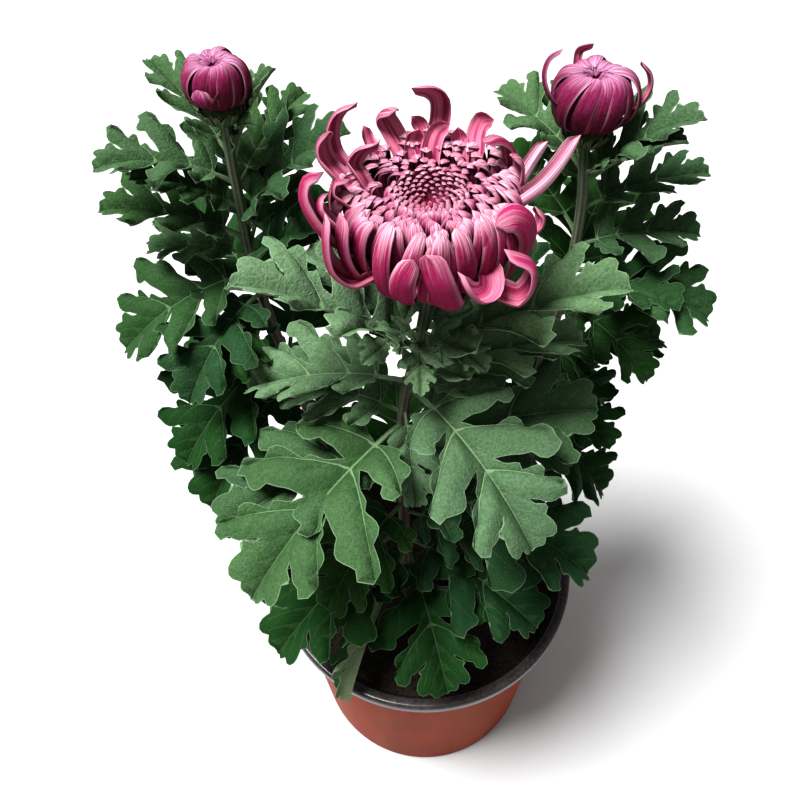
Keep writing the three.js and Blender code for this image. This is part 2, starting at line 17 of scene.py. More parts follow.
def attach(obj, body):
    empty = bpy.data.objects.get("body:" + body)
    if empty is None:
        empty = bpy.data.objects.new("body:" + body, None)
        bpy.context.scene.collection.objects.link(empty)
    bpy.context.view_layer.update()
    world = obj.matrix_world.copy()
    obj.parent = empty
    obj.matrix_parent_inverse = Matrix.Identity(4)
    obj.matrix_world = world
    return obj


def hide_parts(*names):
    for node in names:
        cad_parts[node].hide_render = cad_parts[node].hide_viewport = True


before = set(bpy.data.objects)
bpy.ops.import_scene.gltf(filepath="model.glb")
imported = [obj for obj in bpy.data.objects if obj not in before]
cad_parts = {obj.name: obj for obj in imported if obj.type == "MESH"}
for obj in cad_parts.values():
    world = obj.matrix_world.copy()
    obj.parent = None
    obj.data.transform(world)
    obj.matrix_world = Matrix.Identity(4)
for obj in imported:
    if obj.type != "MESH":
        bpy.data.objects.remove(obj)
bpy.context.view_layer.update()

MM = 0.001
GOLDEN_ANGLE = math.pi * (3 - math.sqrt(5))
UP = np.array([0.0, 0.0, 1.0])

# ---- the plant's and the pot's sizes ---------------------------------------------------------------------

POT = {
    "height": 165, "rim_radius": 90, "rim_inner_radius": 83.6, "rim_height": 7, "rim_round": 2.2,
    "shoulder_radius": 82.5, "foot_radius": 75, "foot_round": 3, "wall": 1.6, "floor": 2.2,
    "lip_round": 0.7, "recess": 0.6, "recess_edge": (9, 8),  # the underside, hollowed inside its foot ring
    "drain_radius": 5, "drain_circle": 48, "drains": 6, "drill": (-4, 8),  # from and to these heights
    "sides": 144, "drill_sides": 20, "sharp": 35,
}
SOIL_TOP = 150
SOIL_EDGE_DROP = 3
SOIL_SLOPE = (60, 20)  # where the soil starts to fall towards the wall, and over what distance
SOIL_SMOOTH = 0.7  # how much flatter the soil is beside the wall
SOIL_WAVES = (1.3, 0.9)  # height of the long waves and of the shorter ones across them
SOIL_LUMPS = 0.35
SOIL_GAP = 0.3  # between the soil and the pot
SOIL_SIDES, SOIL_RINGS, SOIL_MIDDLE = 96, 26, 1.5
CRUMB_BED = {"sides": 48, "rings": 16, "radii": (77, 2), "lift": 0.2}
CRUMBS = {"Density": 110000.0, "Smallest": 0.0005, "Largest": 0.0019, "Seed": 4}
CRUMPLE = (700.0, 0.0022)  # scale of the noise that makes crumbs uneven, and its strength in metres
HAIRS = {"Density": 500000.0, "Smallest": 0.0005, "Largest": 0.0012, "Seed": 9}
HAIR_LEAN = 0.5
HAIR_ROOT = 0.05  # radius of a hair's root, as a share of its length
STEM_FOOT_DEPTH = 18
STEM_STEPS = 90
STEM_RADII = (2.9, 2.2)  # at the foot and under the flower head

# Middle line of each stem, from the soil to the flower head.
STEM_LINES = {
    "front": [(-10, -16, 150), (-11, -8, 230), (-9, 0, 325), (-3, 5, 354), (1, 9, 378), (2, 10, 396)],
    "left": [(-42, 24, 150), (-62, 44, 260), (-77, 56, 350), (-78, 60, 400), (-77, 60, 436)],
    "right": [(42, 24, 150), (60, 44, 260), (72, 56, 350), (73, 60, 385), (69, 60, 421)],
}

# One row for each leaf: height on the stem, azimuth, tilt of its chord, bend along its length, length with
# the stalk, roll about its middle line, upward fold of each half, width as a share of the full outline.
LEAVES = {
    "front": [
        (350, 188, 38, 40, 94, 0, 26, 1.0),
        (354, 148, 32, 40, 66, 0, 16, 1.0),
        (338, 174, -10, 50, 80, -5, 24, 0.9),
        (350, 2, 21, 40, 98, 0, 28, 1.0),
        (358, 48, 34, 40, 72, 6, 16, 1.0),
        (338, 6, 8, 50, 82, 0, 26, 1.0),
        (335, 306, -19, 60, 95, 0, 14, 1.0),
        (312, 228, -12, 50, 110, 0, 14, 1.0),
        (294, 207, -1, 50, 100, 0, 18, 0.9),
        (248, 232, -13, 60, 72, 0, 14, 1.1),
        (240, 332, -10, 50, 58, 0, 14, 1.1),
        (205, 247, -16, 60, 94, 70, 30, 0.8),
        (225, 223, -10, 50, 98, 0, 16, 1.0),
        (212, 284, -17, 50, 88, 6, 14, 1.0),
        (215, 323, -8, 50, 90, 0, 14, 1.0),
        (262, 334, -11, 60, 108, 0, 14, 0.9),
        (285, 1, 19, 50, 100, 20, 14, 1.0),
        (290, 349, 6, 50, 84, 10, 14, 1.0),
        (364, 268, -8, 40, 32, 0, 14, 0.9),
        (368, 220, 2, 40, 34, -10, 14, 0.9),
        (366, 318, -2, 40, 36, 10, 14, 0.9),
        (322, 276, -40, 40, 48, 0, 14, 0.9),
        (240, 92, 4, 50, 88, 0, 8, 1.1),
        (326, 24, 2, 50, 82, 0, 18, 1.0),
        (318, 166, 4, 50, 66, -12, 12, 1.0),
    ],
    "left": [
        (418, 137, 32, 30, 52, 0, 16, 0.75),
        (414, 17, 58, 30, 46, 0, 18, 0.85),
        (405, 193, 17, 60, 60, -10, 20, 0.85),
        (392, 196, 31, 40, 50, -10, 14, 0.9),
        (376, 188, 22, 45, 66, -8, 18, 0.85),
        (366, 177, 3, 55, 50, -10, 14, 0.75),
        (345, 240, -15, 60, 68, 0, 16, 1.0),
        (357, 200, -21, 50, 76, -8, 10, 1.0),
        (332, 244, -7, 55, 52, 0, 14, 1.0),
        (310, 228, -19, 50, 79, 0, 14, 1.0),
        (290, 237, -19, 50, 84, 0, 14, 1.0),
        (402, 51, 24, 40, 54, 10, 16, 0.85),
        (385, 356, 42, 40, 70, 10, 16, 1.0),
        (362, 332, 39, 40, 54, 10, 14, 1.0),
        (390, 95, 30, 40, 60, 0, 10, 0.9),
        (340, 125, 5, 50, 80, 0, 10, 1.0),
        (300, 85, 0, 50, 85, 0, 10, 1.0),
        (250, 130, -4, 50, 80, 0, 8, 1.0),
        (214, 95, -4, 50, 66, 0, 8, 1.0),
        (372, 70, 18, 45, 58, 0, 10, 1.0),
        (340, 63, 14, 50, 72, 0, 12, 1.0),
        (276, 155, 0, 50, 80, 0, 8, 1.0),
    ],
    "right": [
        (405, 134, 18, 40, 54, 0, 16, 1.05),
        (400, 339, 42, 40, 58, 10, 16, 0.95),
        (385, 4, 13, 40, 58, 10, 20, 0.8),
        (398, 334, 39, 40, 50, 0, 18, 0.9),
        (365, 354, 9, 40, 57, 10, 14, 1.0),
        (352, 339, -11, 60, 72, 6, 12, 1.05),
        (340, 323, 17, 50, 60, 0, 14, 1.0),
        (332, 314, -16, 60, 60, 0, 14, 1.0),
        (305, 335, -43, 50, 50, 0, 14, 1.0),
        (280, 304, 0, 50, 58, 0, 14, 1.0),
        (388, 95, 28, 40, 60, 0, 10, 0.9),
        (340, 65, 5, 50, 80, 0, 10, 1.0),
        (300, 100, 0, 50, 85, 0, 10, 1.0),
        (300, 12, -8, 50, 70, 10, 14, 1.0),
        (250, 331, -36, 50, 68, 0, 14, 1.0),
        (240, 50, -6, 50, 78, 0, 8, 1.0),
        (372, 125, 16, 45, 58, 0, 10, 1.0),
        (318, 150, 2, 50, 74, 0, 8, 1.0),
        (268, 128, -2, 50, 80, 0, 8, 1.0),
    ],
}

# A leaf's outline as shares of its length: the stalk, then for each lobe of one half the points it passes
# through, from the notch before it to the notch after it, with the number of teeth round it.
LEAF_STALK = (0.18, 0.010)
LEAF_LOBES = [
    (
        [
            (0.18, 0.010), (0.185, 0.07), (0.22, 0.16), (0.295, 0.25), (0.355, 0.272),
            (0.358, 0.21), (0.342, 0.12), (0.33, 0.045),
        ],
        4,
    ),
    (
        [
            (0.33, 0.045), (0.405, 0.115), (0.475, 0.222), (0.56, 0.322), (0.635, 0.348),
            (0.632, 0.265), (0.588, 0.16), (0.55, 0.055),
        ],
        5,
    ),
    (
        [
            (0.55, 0.055), (0.625, 0.11), (0.7, 0.182), (0.78, 0.236), (0.83, 0.222),
            (0.81, 0.15), (0.772, 0.08),
        ],
        4,
    ),
    ([(0.772, 0.08), (0.86, 0.122), (0.915, 0.11), (0.955, 0.062), (1.0, 0.0)], 3),
]
LEAF_TOOTH = 0.036  # height of a tooth
LEAF_TOOTH_POINTS = 6
TOOTH_SIZES = (0.7, 1.3)
TOOTH_SHAPE = (1.6, 0.85)  # how far teeth lean forwards, and how blunt they are
TOOTH_FADE = (0.1, 0.16)  # where teeth begin beside a notch, and over what share of the lobe they grow
LOBE_REACH = (0.88, 1.1)  # how much shorter or longer a lobe may be
LOBE_SHIFT = 0.012
LEAF_GRAIN = 0.03  # size of the blade's triangles
# The blade's grid of points, in shares of the leaf: its start and half width. The rest is in grains.
LEAF_GRID = {"start": 0.16, "half_width": 0.45, "row": 0.87, "stray": 0.1, "off_rim": 0.6, "off_vein": 0.5}
LEAF_MARGIN = 0.0045  # width of the pale rim
RIM_POINTS = (1.1, 0.8)  # distance of a row of points inside the rim, and the least, in margins
VEIN_BANK = 1.25  # distance of the points on both sides of a vein, in widths of the vein
BANK_GAP, LINE_GAP = 0.0015, 0.0016  # no point is nearer to a main vein, or to any line
VEIN_REACH = {"vein": 24, "groove": 12}  # how far from a vein distances are told, in widths
MIDRIB_END, LATERAL_END = 0.985, 0.95  # of the way to their tips
MIDRIB_POINTS, LATERAL_POINTS, BRANCH_POINTS = 34, 10, 5
LATERAL_ROOTS = (0.186, 0.34, 0.57)  # where the main side veins leave the midrib
LATERAL_BOW = (-0.02, 0.022)  # how far a side vein's middle lies back, and out
LATERAL_BRANCHES = (3, 5, 7)  # the points that a side vein branches at
LATERAL_TURNS = (0.6, -0.6)
MIDRIB_BRANCHES = (0.27, 0.46, 0.68, 0.79, 0.88)
MIDRIB_TURN = 0.7
BRANCH_REACH = (0.35, 0.75)  # of the way to the rim, before and after its bend
BRANCH_BEND = 0.5  # how strongly a branch bends towards the tip
VEIN_WIDTHS = {"midrib": (0.0078, 0.0022), "lateral": (0.0036, 0.0012), "tooth": (0.0016, 0.0008)}
LEAF_TEMPLATES = 7
# Heights of the darkest and the palest leaves, and how far chance moves a leaf between the two.
# Low leaves are painted darker, partly for age and partly as painted shade under the leaves above.
LEAF_AGE_AND_SHADE_HEIGHTS = {"front": (205, 350), "left": (315, 445), "right": (300, 460)}
AGE_AND_SHADE_CHANCE = (-0.2, 0.15)
LEAF_STEPS = 24
LEAF_BREADTH = 1.2  # the darkest leaves are this much broader than their rows say
LEAF_FOLD = 12  # degrees by which every leaf is folded further than its row says
LEAF_DROOP = 0.006  # fall of the blade's edge per square millimetre from the middle line
BLADE_THICKNESS = 0.5
BLADE_RIM = (0.55, 20)  # thickness at the rim, and how fast it grows inwards
BLADE_SHARP = 50
USUAL_LENGTH = 90  # the leaf that the heights below and the stalk's radii are given for
EDGE_WAVES = (2.6, 3.8)  # waves along each half of a leaf
EDGE_WAVE_HEIGHTS = (1.4, 2.4)
EDGE_SPREAD = (0.34, 1.2)  # where waves reach their full height, as a share of length, and their most
LOBE_LIFTS = (-5.0, 3.4)
LOBE_PLACES = (0.33, 0.6, 0.8)
LOBE_SPAN = 0.08
PUFFS = {"vein": (2.8, 12), "groove": (0.3, 6)}  # rise beside each kind of vein, and over how many widths
VEIN_SINK = 0.2
RIM_FALL = 0.018  # distance over which the rim turns down
RELIEF_START = (0.1, 0.2)  # where the blade's relief begins, and over what share it grows
STALK_RADII = [(0, 1.7), (0.03, 1.25), (0.18, 1.05), (0.3, 0.7), (0.62, 0.25)]  # share of length, radius
STALK_SHARES = (0, 0.02, 0.05, 0.1, 0.15, 0.19, 0.24, 0.3, 0.38, 0.46, 0.54, 0.62)
STALK_SINK = (0.75, 0.1)  # depth of the stalk's middle under the blade, in radii and in millimetres
STALK_SIDES = 8

# Each flower head: its middle, radius, depth to its seat, crest, where its whorl's tips end (radius, height),
# and its loose outer petals: width, then the points each passes through.
HEADS = {
    "bloom_front": {
        "centre": (2, 10, 434), "radius": 36, "depth": 33, "crest": (4, 12), "tip_radius": (11, 27),
        "tip_height": (1, 6), "petals": 190, "petal_width": 8.4, "core_radius": 24, "core_top": -6,
        "calyx_radius": 9, "channel": 0.85, "layered": 0.34, "lean": 0.24, "twist": 0.2, "unevenness": 0.12,
        "rolled": (12, 13),
        "loose": [
            (8, [(2, 28, -1), (6, 35, 7), (6, 37, 16), (2, 35, 21), (-5, 32, 23)]),
            (9, [(-9, 24, 0), (-13, 30, 6), (-16, 33, 11), (-15, 31, 16), (-10, 27, 18)]),
            (7.5, [(-29, 10, 2), (-35, 16, 9), (-35, 19, 17), (-31, 19, 24), (-24, 16, 28)]),
            (10, [(-32, 2, 5), (-38, 8, 10), (-39, 10, 16), (-37, 10, 20), (-34, 8, 22)]),
            (5.5, [(-20, 20, 5), (-22, 24, 8), (-23, 25, 13)]),
            (6.5, [(0, 30, 2), (-2, 34, 7), (-5, 33, 11)]),
            (7.5, [(-5, 24, 2), (-4, 27, 6), (-2, 26, 10)]),
            (7.5, [(2, 24, 2), (5, 28, 8), (9, 27, 11)]),
            (7, [(14, 22, 2), (13, 26, 6), (12, 25, 11)]),
            (8.5, [(19, 20, 2), (20, 26, 7), (22, 28, 11), (25, 24, 14)]),
            (7.5, [(27, 10, -2), (32, 14, 4), (30, 14, 11), (24, 10, 17), (19, 6, 17)]),
            (7.5, [(29, 0, -7), (34, 4, 1), (34, 6, 8), (32, 5, 12), (29, 3, 13)]),
            (5.5, [(34, 10, -7), (40, 16, 0), (45, 20, 7)]),
            (6.2, [(30, -6, -5), (42, 0, 1), (50, 6, 9), (54, 10, 16)]),
            (7, [(33, -12, -12), (40, -10, -9), (41, -8, -4), (37, -8, 0)]),
            (11, [(31, -16, -17), (36, -19, -11), (35, -21, 1), (28, -23, 8), (21, -24, 5)]),
            (10.5, [(21, -30, -20), (31, -32, -23), (36, -32, -15), (35, -30, -6), (24, -29, -1)]),
            (9, [(20, -28, -14), (19, -34, -17), (14, -37, -16), (9, -38, -8), (8, -35, -5)]),
            (12, [(7, -24, -24), (5, -35, -24), (1, -40.5, -9), (-3, -36, 4)]),
            (9.5, [(-9, -28, -19), (-11, -37, -17), (-11, -40, -5), (-7, -36, 2)]),
            (11, [(-19, -22, -17), (-29, -25, -19), (-37, -25, -11), (-38, -24, 3), (-36, -20, 10)]),
            (10.5, [(-21, -18, -18), (-29, -21, -18), (-33, -22, -8), (-33, -22, 2), (-31, -19, 9)]),
            (12, [(-36, -16, -8), (-43, -14, 1), (-46, -10, 10), (-43, -7, 16), (-36, -6, 16)]),
            (10, [(-33, -16, -3), (-38, -14, 2), (-40, -12, 7), (-38, -10, 10), (-35, -10, 10)]),
            (8, [(-30, -8, 3), (-34, -6, 6), (-33, -4, 11), (-27, -4, 11)]),
            (8.5, [(-25, 4, 5), (-28, 9, 8), (-24, 10, 14), (-17, 8, 17)]),
        ],
    },
    "bud_left": {
        "centre": (-77, 60, 453), "radius": 14, "depth": 10.3, "crest": (9, 13), "tip_radius": (0.6, 4),
        "tip_height": (5, 7), "petals": 48, "petal_width": 7.4, "core_radius": 10.5, "core_top": 4.5,
        "calyx_radius": 7, "channel": 0.8, "swirl": 0.35,
        "loose": [(9, [(-2, -14, -2), (-3, -17, -2), (-4, -18, 2), (-4, -16, 5)])],
    },
    "bud_right": {
        "centre": (69, 60, 440), "radius": 18.6, "depth": 12.7, "crest": (12, 17), "tip_radius": (1, 4),
        "tip_height": (7, 10), "petals": 48, "petal_width": 9.2, "core_radius": 14.5, "core_top": 6.5,
        "calyx_radius": 8, "channel": 0.8, "swirl": 0.4,
        "loose": [
            (4, [(-19, -7, 4), (-22, -4, 12), (-20, -2, 18), (-15, -2, 21)]),
            (4, [(18, -4, -3), (22, -2, 4), (21, 0, 9), (16, 0, 14)]),
            (4, [(-6, 12, 8), (-5, 14, 12), (0, 12, 15)]),
        ],
    },
}
# The small upright petals that fill the middle of the open bloom.
FLORETS = {
    "centre": (2, 10, 434), "radius": 15, "depth": 20, "crest": (1, 5.5), "tip_radius": (0.4, 13),
    "tip_height": (-1, 2.5), "petals": 110, "petal_width": 5.3, "core_radius": 16, "core_top": -8,
    "channel": 0.9, "tip_spread": 0.55, "lean": 0.06, "twist": 0.15, "unevenness": 0.05,
}
HEAD_ON_STEM = {"front": "bloom_front", "left": "bud_left", "right": "bud_right"}

# How a whorl's petals are set out. Shares are of the head's own sizes.
WHORL = {
    "inner_reach": 0.25,  # how far the innermost petals reach, against the outermost
    "root_radius": 0.45,
    "root_drop": 4,
    "root_fall": 1.6,
    "low_handle": (1.24, 0.6),
    "high_handle": 1.16,
    "inner_width": 0.45,
    "width_spread": 0.8,
    "short_shoulder": (0.14, 0.45),  # how much nearer and lower the shoulder of a short petal is
    "short_tip": (0.82, 0.7),  # where its tip ends, against its shoulder
}
PETAL_SIDES = 18
PETAL_STEPS = 18
FLORET_SIDES = 10
FLORET_STEPS = 9
PETAL_THICKNESS = 0.55
PETAL_ROOT_WIDTH = 0.3
PETAL_ARC = (0.08, 0.86)  # the stretch of a half wave that the width follows from root to tip
PETAL_ROUNDING = 0.12  # share of the length over which the tip closes
PETAL_CURL = (1.15, 0.8)  # change of the channel's curl from root to tip
PETAL_EDGE = (0.8, 0.2)  # what a closing tip keeps of its thickness
PETAL_CREASE = (0.17, -16)  # depth of the crease along the back, and its narrowness
CREASE_STRAY = 0.5
CREASE_END = (0.6, 0.9)
ALMOST_ROUND = 1.0001  # a little over 1, so that a tip never closes to nothing
LOOSE_ARC = (0.1, 0.74)
LOOSE_ROUNDING = 0.09
LOOSE_CURL = (1.25, 2.3)  # half angle of a loose petal's channel, and of a rolled one's
# How far a loose petal, and a rolled one, reach into the pale crest colour, which is partly a painted
# highlight.
LOOSE_PALENESS, ROLLED_PALENESS = 0.84, 0.75
ROLLED_FACE = 0.44  # how far the inner face of a rolled petal takes the inner colour
LOOSE_ROOT = (0.5, 0.25)  # radius and rise of a loose petal's root
LOOSE_STEPS = 26
LOOSE_OPENING = (1.2, 0.8)  # change of a loose petal's curl from root to tip
LOOSE_CHANCE = (0.85, 1.15)
LOOSE_CREASE = (0.16, 4)
LOOSE_RIBS = (0.06, 9)
LOOSE_AGES = (0.75, 1.0)
CORE_SEAT = 1
CORE_BREADTH = 0.94
CORE_OUTLINE = ((0, 0.42), (0.25, 0.85), (0.6, 1), (0.85, 0.75), (1, 0.3))  # share of height, of radius
CORE_SIDES, CUP_SIDES = 40, 48
CUP_GAP = 0.75
CUP_OUTLINE = ((0.6, 4.8), (0.95, 2), (1, 0))  # share of the calyx's radius, and depth under the seat
CUP_FOOT = (1.1, 8)  # in radii of the stem, and depth under the seat
# The scales round a cup, as a whorl of their own. Reaches are shares of the calyx's radius.
BRACTS = {
    "depth": 6, "crest": (-3, -1.5), "tip_height": (1.5, 0.5), "petals": 26, "petal_width": 4.2,
    "core_top": -2, "channel": 0.5,
}
BRACT_REACH = 1.05
BRACT_TIPS = (1.0, 1.38)
BRACT_DROP = 1

# The camera and the light, in metres and degrees.
CAMERA = {"place": (-0.011, -0.225, 0.617), "pitch": 37.8, "roll": -2, "lens": 36, "sensor": 36, "near": 0.01}
KEY_LIGHT = {"place": (-1.9, -0.3, 5.2), "target": (0, 0, 0.2), "size": 2.4, "power": 780}
SKY_STRENGTH = 0.42
FLOOR = {"half": 4000, "drop": 0.2, "grey": (0.42, 0.42, 0.42, 1.0), "roughness": 0.8}


# ---- shared helpers --------------------------------------------------------------------------------------

def mix(start, end, share):
    """What lies that share of the way from start to end."""
    return start + (end - start) * share


def colour(code):
    """A six-digit colour code as a linear colour."""
    values = [int(code[place : place + 2], 16) / 255 for place in (0, 2, 4)]
    return tuple(v / 12.92 if v <= 0.04045 else ((v + 0.055) / 1.055) ** 2.4 for v in values) + (1.0,)


def smooth_line(points, steps):
    """A smooth line through points, with that many steps to each stretch between two of them."""
    points = np.asarray(points, float)
    padded = np.vstack([2 * points[0] - points[1], points, 2 * points[-1] - points[-2]])
    share = np.linspace(0, 1, steps, endpoint=False)[:, None]
    line = []
    for before, start, end, after in zip(padded, padded[1:], padded[2:], padded[3:]):
        first, middle, last = (
            max(np.linalg.norm(b - a), 1e-6) ** 0.5
            for a, b in ((before, start), (start, end), (end, after))
        )
        leave = (start - before) / first - (end - before) / (first + middle) + (end - start) / middle
        arrive = (end - start) / middle - (after - start) / (middle + last) + (after - end) / last
        line.append(
            (2 * share**3 - 3 * share**2 + 1) * start
            + (share**3 - 2 * share**2 + share) * leave * middle
            + (3 * share**2 - 2 * share**3) * end
            + (share**3 - share**2) * arrive * middle
        )
    return np.vstack([*line, points[-1:]])


def evenly(line, count):
    """That many points at even distances along a line."""
    travelled = np.r_[0, np.cumsum(np.linalg.norm(np.diff(line, axis=0), axis=1))]
    places = np.linspace(0, travelled[-1], count)
    return np.stack([np.interp(places, travelled, column) for column in line.T], axis=1)


def unit(vectors):
    """Vectors of length 1 in the same directions."""
    return vectors / np.maximum(np.linalg.norm(vectors, axis=-1, keepdims=True), 1e-12)


def linked(name, data):
    """A new object in the scene."""
    made = bpy.data.objects.new(name, data)
    bpy.context.scene.collection.objects.link(made)
    return made


def mesh_object(name, points, faces, materials, attributes=None, face_materials=None, sharp=None):
    """A finished mesh from points in millimetres. Attributes are one number for each point."""
    mesh = bpy.data.meshes.new(name)
    mesh.from_pydata((np.asarray(points) * MM).tolist(), [], [list(map(int, face)) for face in faces])
    for key, values in (attributes or {}).items():
        attribute = mesh.attributes.new(key, "FLOAT", "POINT")
        attribute.data.foreach_set("value", np.asarray(values, np.float32))
    for material in materials:
        mesh.materials.append(material)
    if face_materials is not None:
        mesh.polygons.foreach_set("material_index", np.asarray(face_materials, np.int32))
    mesh.shade_smooth()
    if sharp:
        mesh.set_sharp_from_angle(angle=math.radians(sharp))
    mesh.update()
    return linked(name, mesh)


def finish_piece(piece, slot, *nodes):
    """Hides the nodes that a piece stands for, and fastens the piece to the plant. The slot, its finish, is
    not used.
    """
    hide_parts(*nodes)
    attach(piece, "root")


class Patchwork:
    """Gathers many small meshes into one."""

    def __init__(self):
        self.points, self.faces, self.attributes, self.count = [], [], {}, 0

    def add(self, points, faces, **attributes):
        self.points.append(np.asarray(points))
        self.faces.extend((np.asarray(face) + self.count).tolist() for face in faces)
        for key, values in attributes.items():
            self.attributes.setdefault(key, []).append(np.broadcast_to(values, len(points)))
        self.count += len(points)

    def piece(self, name, material, sharp=None):
        attributes = {key: np.concatenate(values) for key, values in self.attributes.items()}
        return mesh_object(name, np.vstack(self.points), self.faces, [material], attributes, None, sharp)


def around(sides):
    """Angles at even distances round a circle."""
    return np.linspace(0, 2 * math.pi, sides, endpoint=False)


def circle(radius, height, sides, centre=(0, 0, 0)):
    """Points at even distances round an upright line."""
    x, y, z = centre
    return [
        (x + radius * math.cos(angle), y + radius * math.sin(angle), z + height) for angle in around(sides)
    ]


def tube_faces(rings, sides):
    """The faces of a closed tube of rings, with flat ends."""
    faces = []
    for ring in range(rings - 1):
        for side in range(sides):
            a, b = ring * sides + side, ring * sides + (side + 1) % sides
            faces.append((a, b, b + sides, a + sides))
    last = (rings - 1) * sides
    return [*faces, tuple(reversed(range(sides))), tuple(range(last, last + sides))]


def tube(lines):
    """The points and faces of a closed tube, from one line of points for each of its sides."""
    points = np.stack(lines, axis=1).reshape(-1, 3)
    return points, [face[::-1] for face in tube_faces(len(lines[0]), len(lines))]


# ---- node trees ------------------------------------------------------------------------------------------

class Formula:
    """The output of a node. Arithmetic on it adds Math nodes to the tree."""

    def __init__(self, tree, socket):
        self.tree, self.socket = tree, socket

    def math(self, operation, *others):
        inputs = dict(enumerate((self, *others)))
        return result_of(self.tree, "ShaderNodeMath", inputs, operation=operation)

    def __add__(self, other):
        return self.math("ADD", other)

    def __sub__(self, other):
        return self.math("SUBTRACT", other)

    def __rsub__(self, other):
        return (self * -1) + other

    def __mul__(self, other):
        return self.math("MULTIPLY", other)

    def __truediv__(self, other):
        return self.math("DIVIDE", other)

    def __pow__(self, other):
        return self.math("POWER", other)

    __radd__ = __add__
    __rmul__ = __mul__

    def sine(self):
        return self.math("SINE")

    def cosine(self):
        return self.math("COSINE")

    def between(self, start, end):
        """Runs from start to end as this runs from 0 to 1."""
        return start + (end - start) * self

    def step(self, low, high):
        """Rises smoothly from 0 at low to 1 at high."""
        inputs = {0: self, 1: low, 2: high}
        return result_of(self.tree, "ShaderNodeMapRange", inputs, interpolation_type="SMOOTHSTEP")


def feed(socket, value):
    """Links a socket to a value from the tree, or sets it."""
    if isinstance(value, Formula):
        value.tree.links.new(value.socket, socket)
    else:
        socket.default_value = value


def add_node(tree, kind, inputs, **settings):
    """A new node with its settings, and what its inputs are fed."""
    made = tree.nodes.new(kind)
    for key, value in settings.items():
        setattr(made, key, value)
    for key, value in inputs.items():
        feed(made.inputs[key], value)
    return made


def result_of(tree, kind, inputs, output=0, **settings):
    """What a new node puts out."""
    return Formula(tree, add_node(tree, kind, inputs, **settings).outputs[output])


SOCKET_KINDS = {float: "Float", int: "Int", tuple: "Vector"}


def new_tree(name, kind, output, inputs):
    """An empty group with one output of a kind, and with named inputs, each with its value or its kind. It
    comes with its inputs by name, and with the socket that its result goes to."""
    tree = bpy.data.node_groups.new(name, kind)
    for label, value in inputs.items():
        bare = isinstance(value, str)
        socket_type = "NodeSocket" + (value if bare else SOCKET_KINDS[type(value)])
        socket = tree.interface.new_socket(label, in_out="INPUT", socket_type=socket_type)
        if not bare:
            socket.default_value = value
    tree.interface.new_socket("Result", in_out="OUTPUT", socket_type="NodeSocket" + output)
    given = tree.nodes.new("NodeGroupInput")
    wanted = {socket.name: Formula(tree, socket) for socket in given.outputs if socket.name}
    return tree, wanted, tree.nodes.new("NodeGroupOutput").inputs["Result"]


def parts(tree, place):
    """A vector's three numbers."""
    made = add_node(tree, "ShaderNodeSeparateXYZ", {0: place})
    return [Formula(tree, socket) for socket in made.outputs]


def vector(tree, x, y, z=0.0):
    return result_of(tree, "ShaderNodeCombineXYZ", {0: x, 1: y, 2: z})


def stored(tree, geometry, name, value, domain="POINT"):
    """A geometry that also carries a number by that name."""
    inputs = {"Geometry": geometry, "Name": name, "Value": value}
    return result_of(tree, "GeometryNodeStoreNamedAttribute", inputs, domain=domain)


def carried(tree, name):
    """The number that a geometry carries by that name."""
    return result_of(tree, "GeometryNodeInputNamedAttribute", {"Name": name}, data_type="FLOAT")


def end_tree(tree, geometry, material, result, smooth=True):
    """Every tree ends as a plain mesh with its material."""
    real = result_of(tree, "GeometryNodeRealizeInstances", {"Geometry": geometry})
    shaded = result_of(tree, "GeometryNodeSetShadeSmooth", {"Geometry": real, "Shade Smooth": smooth})
    coated = result_of(tree, "GeometryNodeSetMaterial", {"Geometry": shaded, "Material": material})
    feed(result, coated)


def grown(name, tree, host, values):
    """The plain mesh that a Geometry Nodes tree makes on a host object, which is then removed."""
    modifier = host.modifiers.new("growth", "NODES")
    modifier.node_group = tree
    for item in tree.interface.items_tree:
        if item.in_out == "INPUT" and item.name in values:
            modifier[item.identifier] = values[item.name]
    host.update_tag()
    depsgraph = bpy.context.evaluated_depsgraph_get()
    mesh = bpy.data.meshes.new_from_object(host.evaluated_get(depsgraph))
    mesh.name = name
    host.modifiers.remove(modifier)
    bpy.data.objects.remove(host)
    return linked(name, mesh)


def empty_host():
    """An object without a mesh, for a tree that starts from nothing."""
    return linked("host", bpy.data.meshes.new("host"))


# ---- shading ---------------------------------------------------------------------------------------------

def mottle_group():
    """Soft uneven patches over the surface, from 0 to 1."""
    inputs = {"Scale": 40.0, "Contrast": 0.25}
    tree, wanted, result = new_tree("mottle", "ShaderNodeTree", "Float", inputs)
    place = result_of(tree, "ShaderNodeTexCoord", {}, "Object")
    noise = result_of(
        tree, "ShaderNodeTexNoise", {"Vector": place, "Scale": wanted["Scale"], "Detail": 4.0}
    )
    feed(result, noise.step(0.5 - wanted["Contrast"], wanted["Contrast"] + 0.5))
    return tree


def down_group():
    """The specks of a fine coat of hairs, as a mask from 0 to 1."""
    inputs = {"Scale": 1800.0, "Size": 0.3}
    tree, wanted, result = new_tree("down", "ShaderNodeTree", "Float", inputs)
    place = result_of(tree, "ShaderNodeTexCoord", {}, "Object")
    distance = result_of(
        tree, "ShaderNodeTexVoronoi", {"Vector": place, "Scale": wanted["Scale"], "Randomness": 1.0},
        "Distance",
    )
    feed(result, 1 - distance.step(0.1, wanted["Size"]))
    return tree


def streaks_group():
    """Fine lines along a petal or a bract, from 0 to 1, across its width."""
    inputs = {"Across": 0.0, "Along": 0.0, "Seed": 0.0, "Lines": 7.0, "Length": 1.0}
    tree, wanted, result = new_tree("streaks", "ShaderNodeTree", "Float", inputs)
    place = vector(
        tree, wanted["Across"] * wanted["Lines"], wanted["Along"] * wanted["Length"], wanted["Seed"] * 37.0
    )
    noise = result_of(
        tree, "ShaderNodeTexNoise", {"Vector": place, "Scale": 1.0, "Detail": 3.0, "Roughness": 0.6}
    )
    feed(result, noise.step(0.32, 0.68))
    return tree


GROUPS = {"mottle": mottle_group(), "down": down_group(), "streaks": streaks_group()}


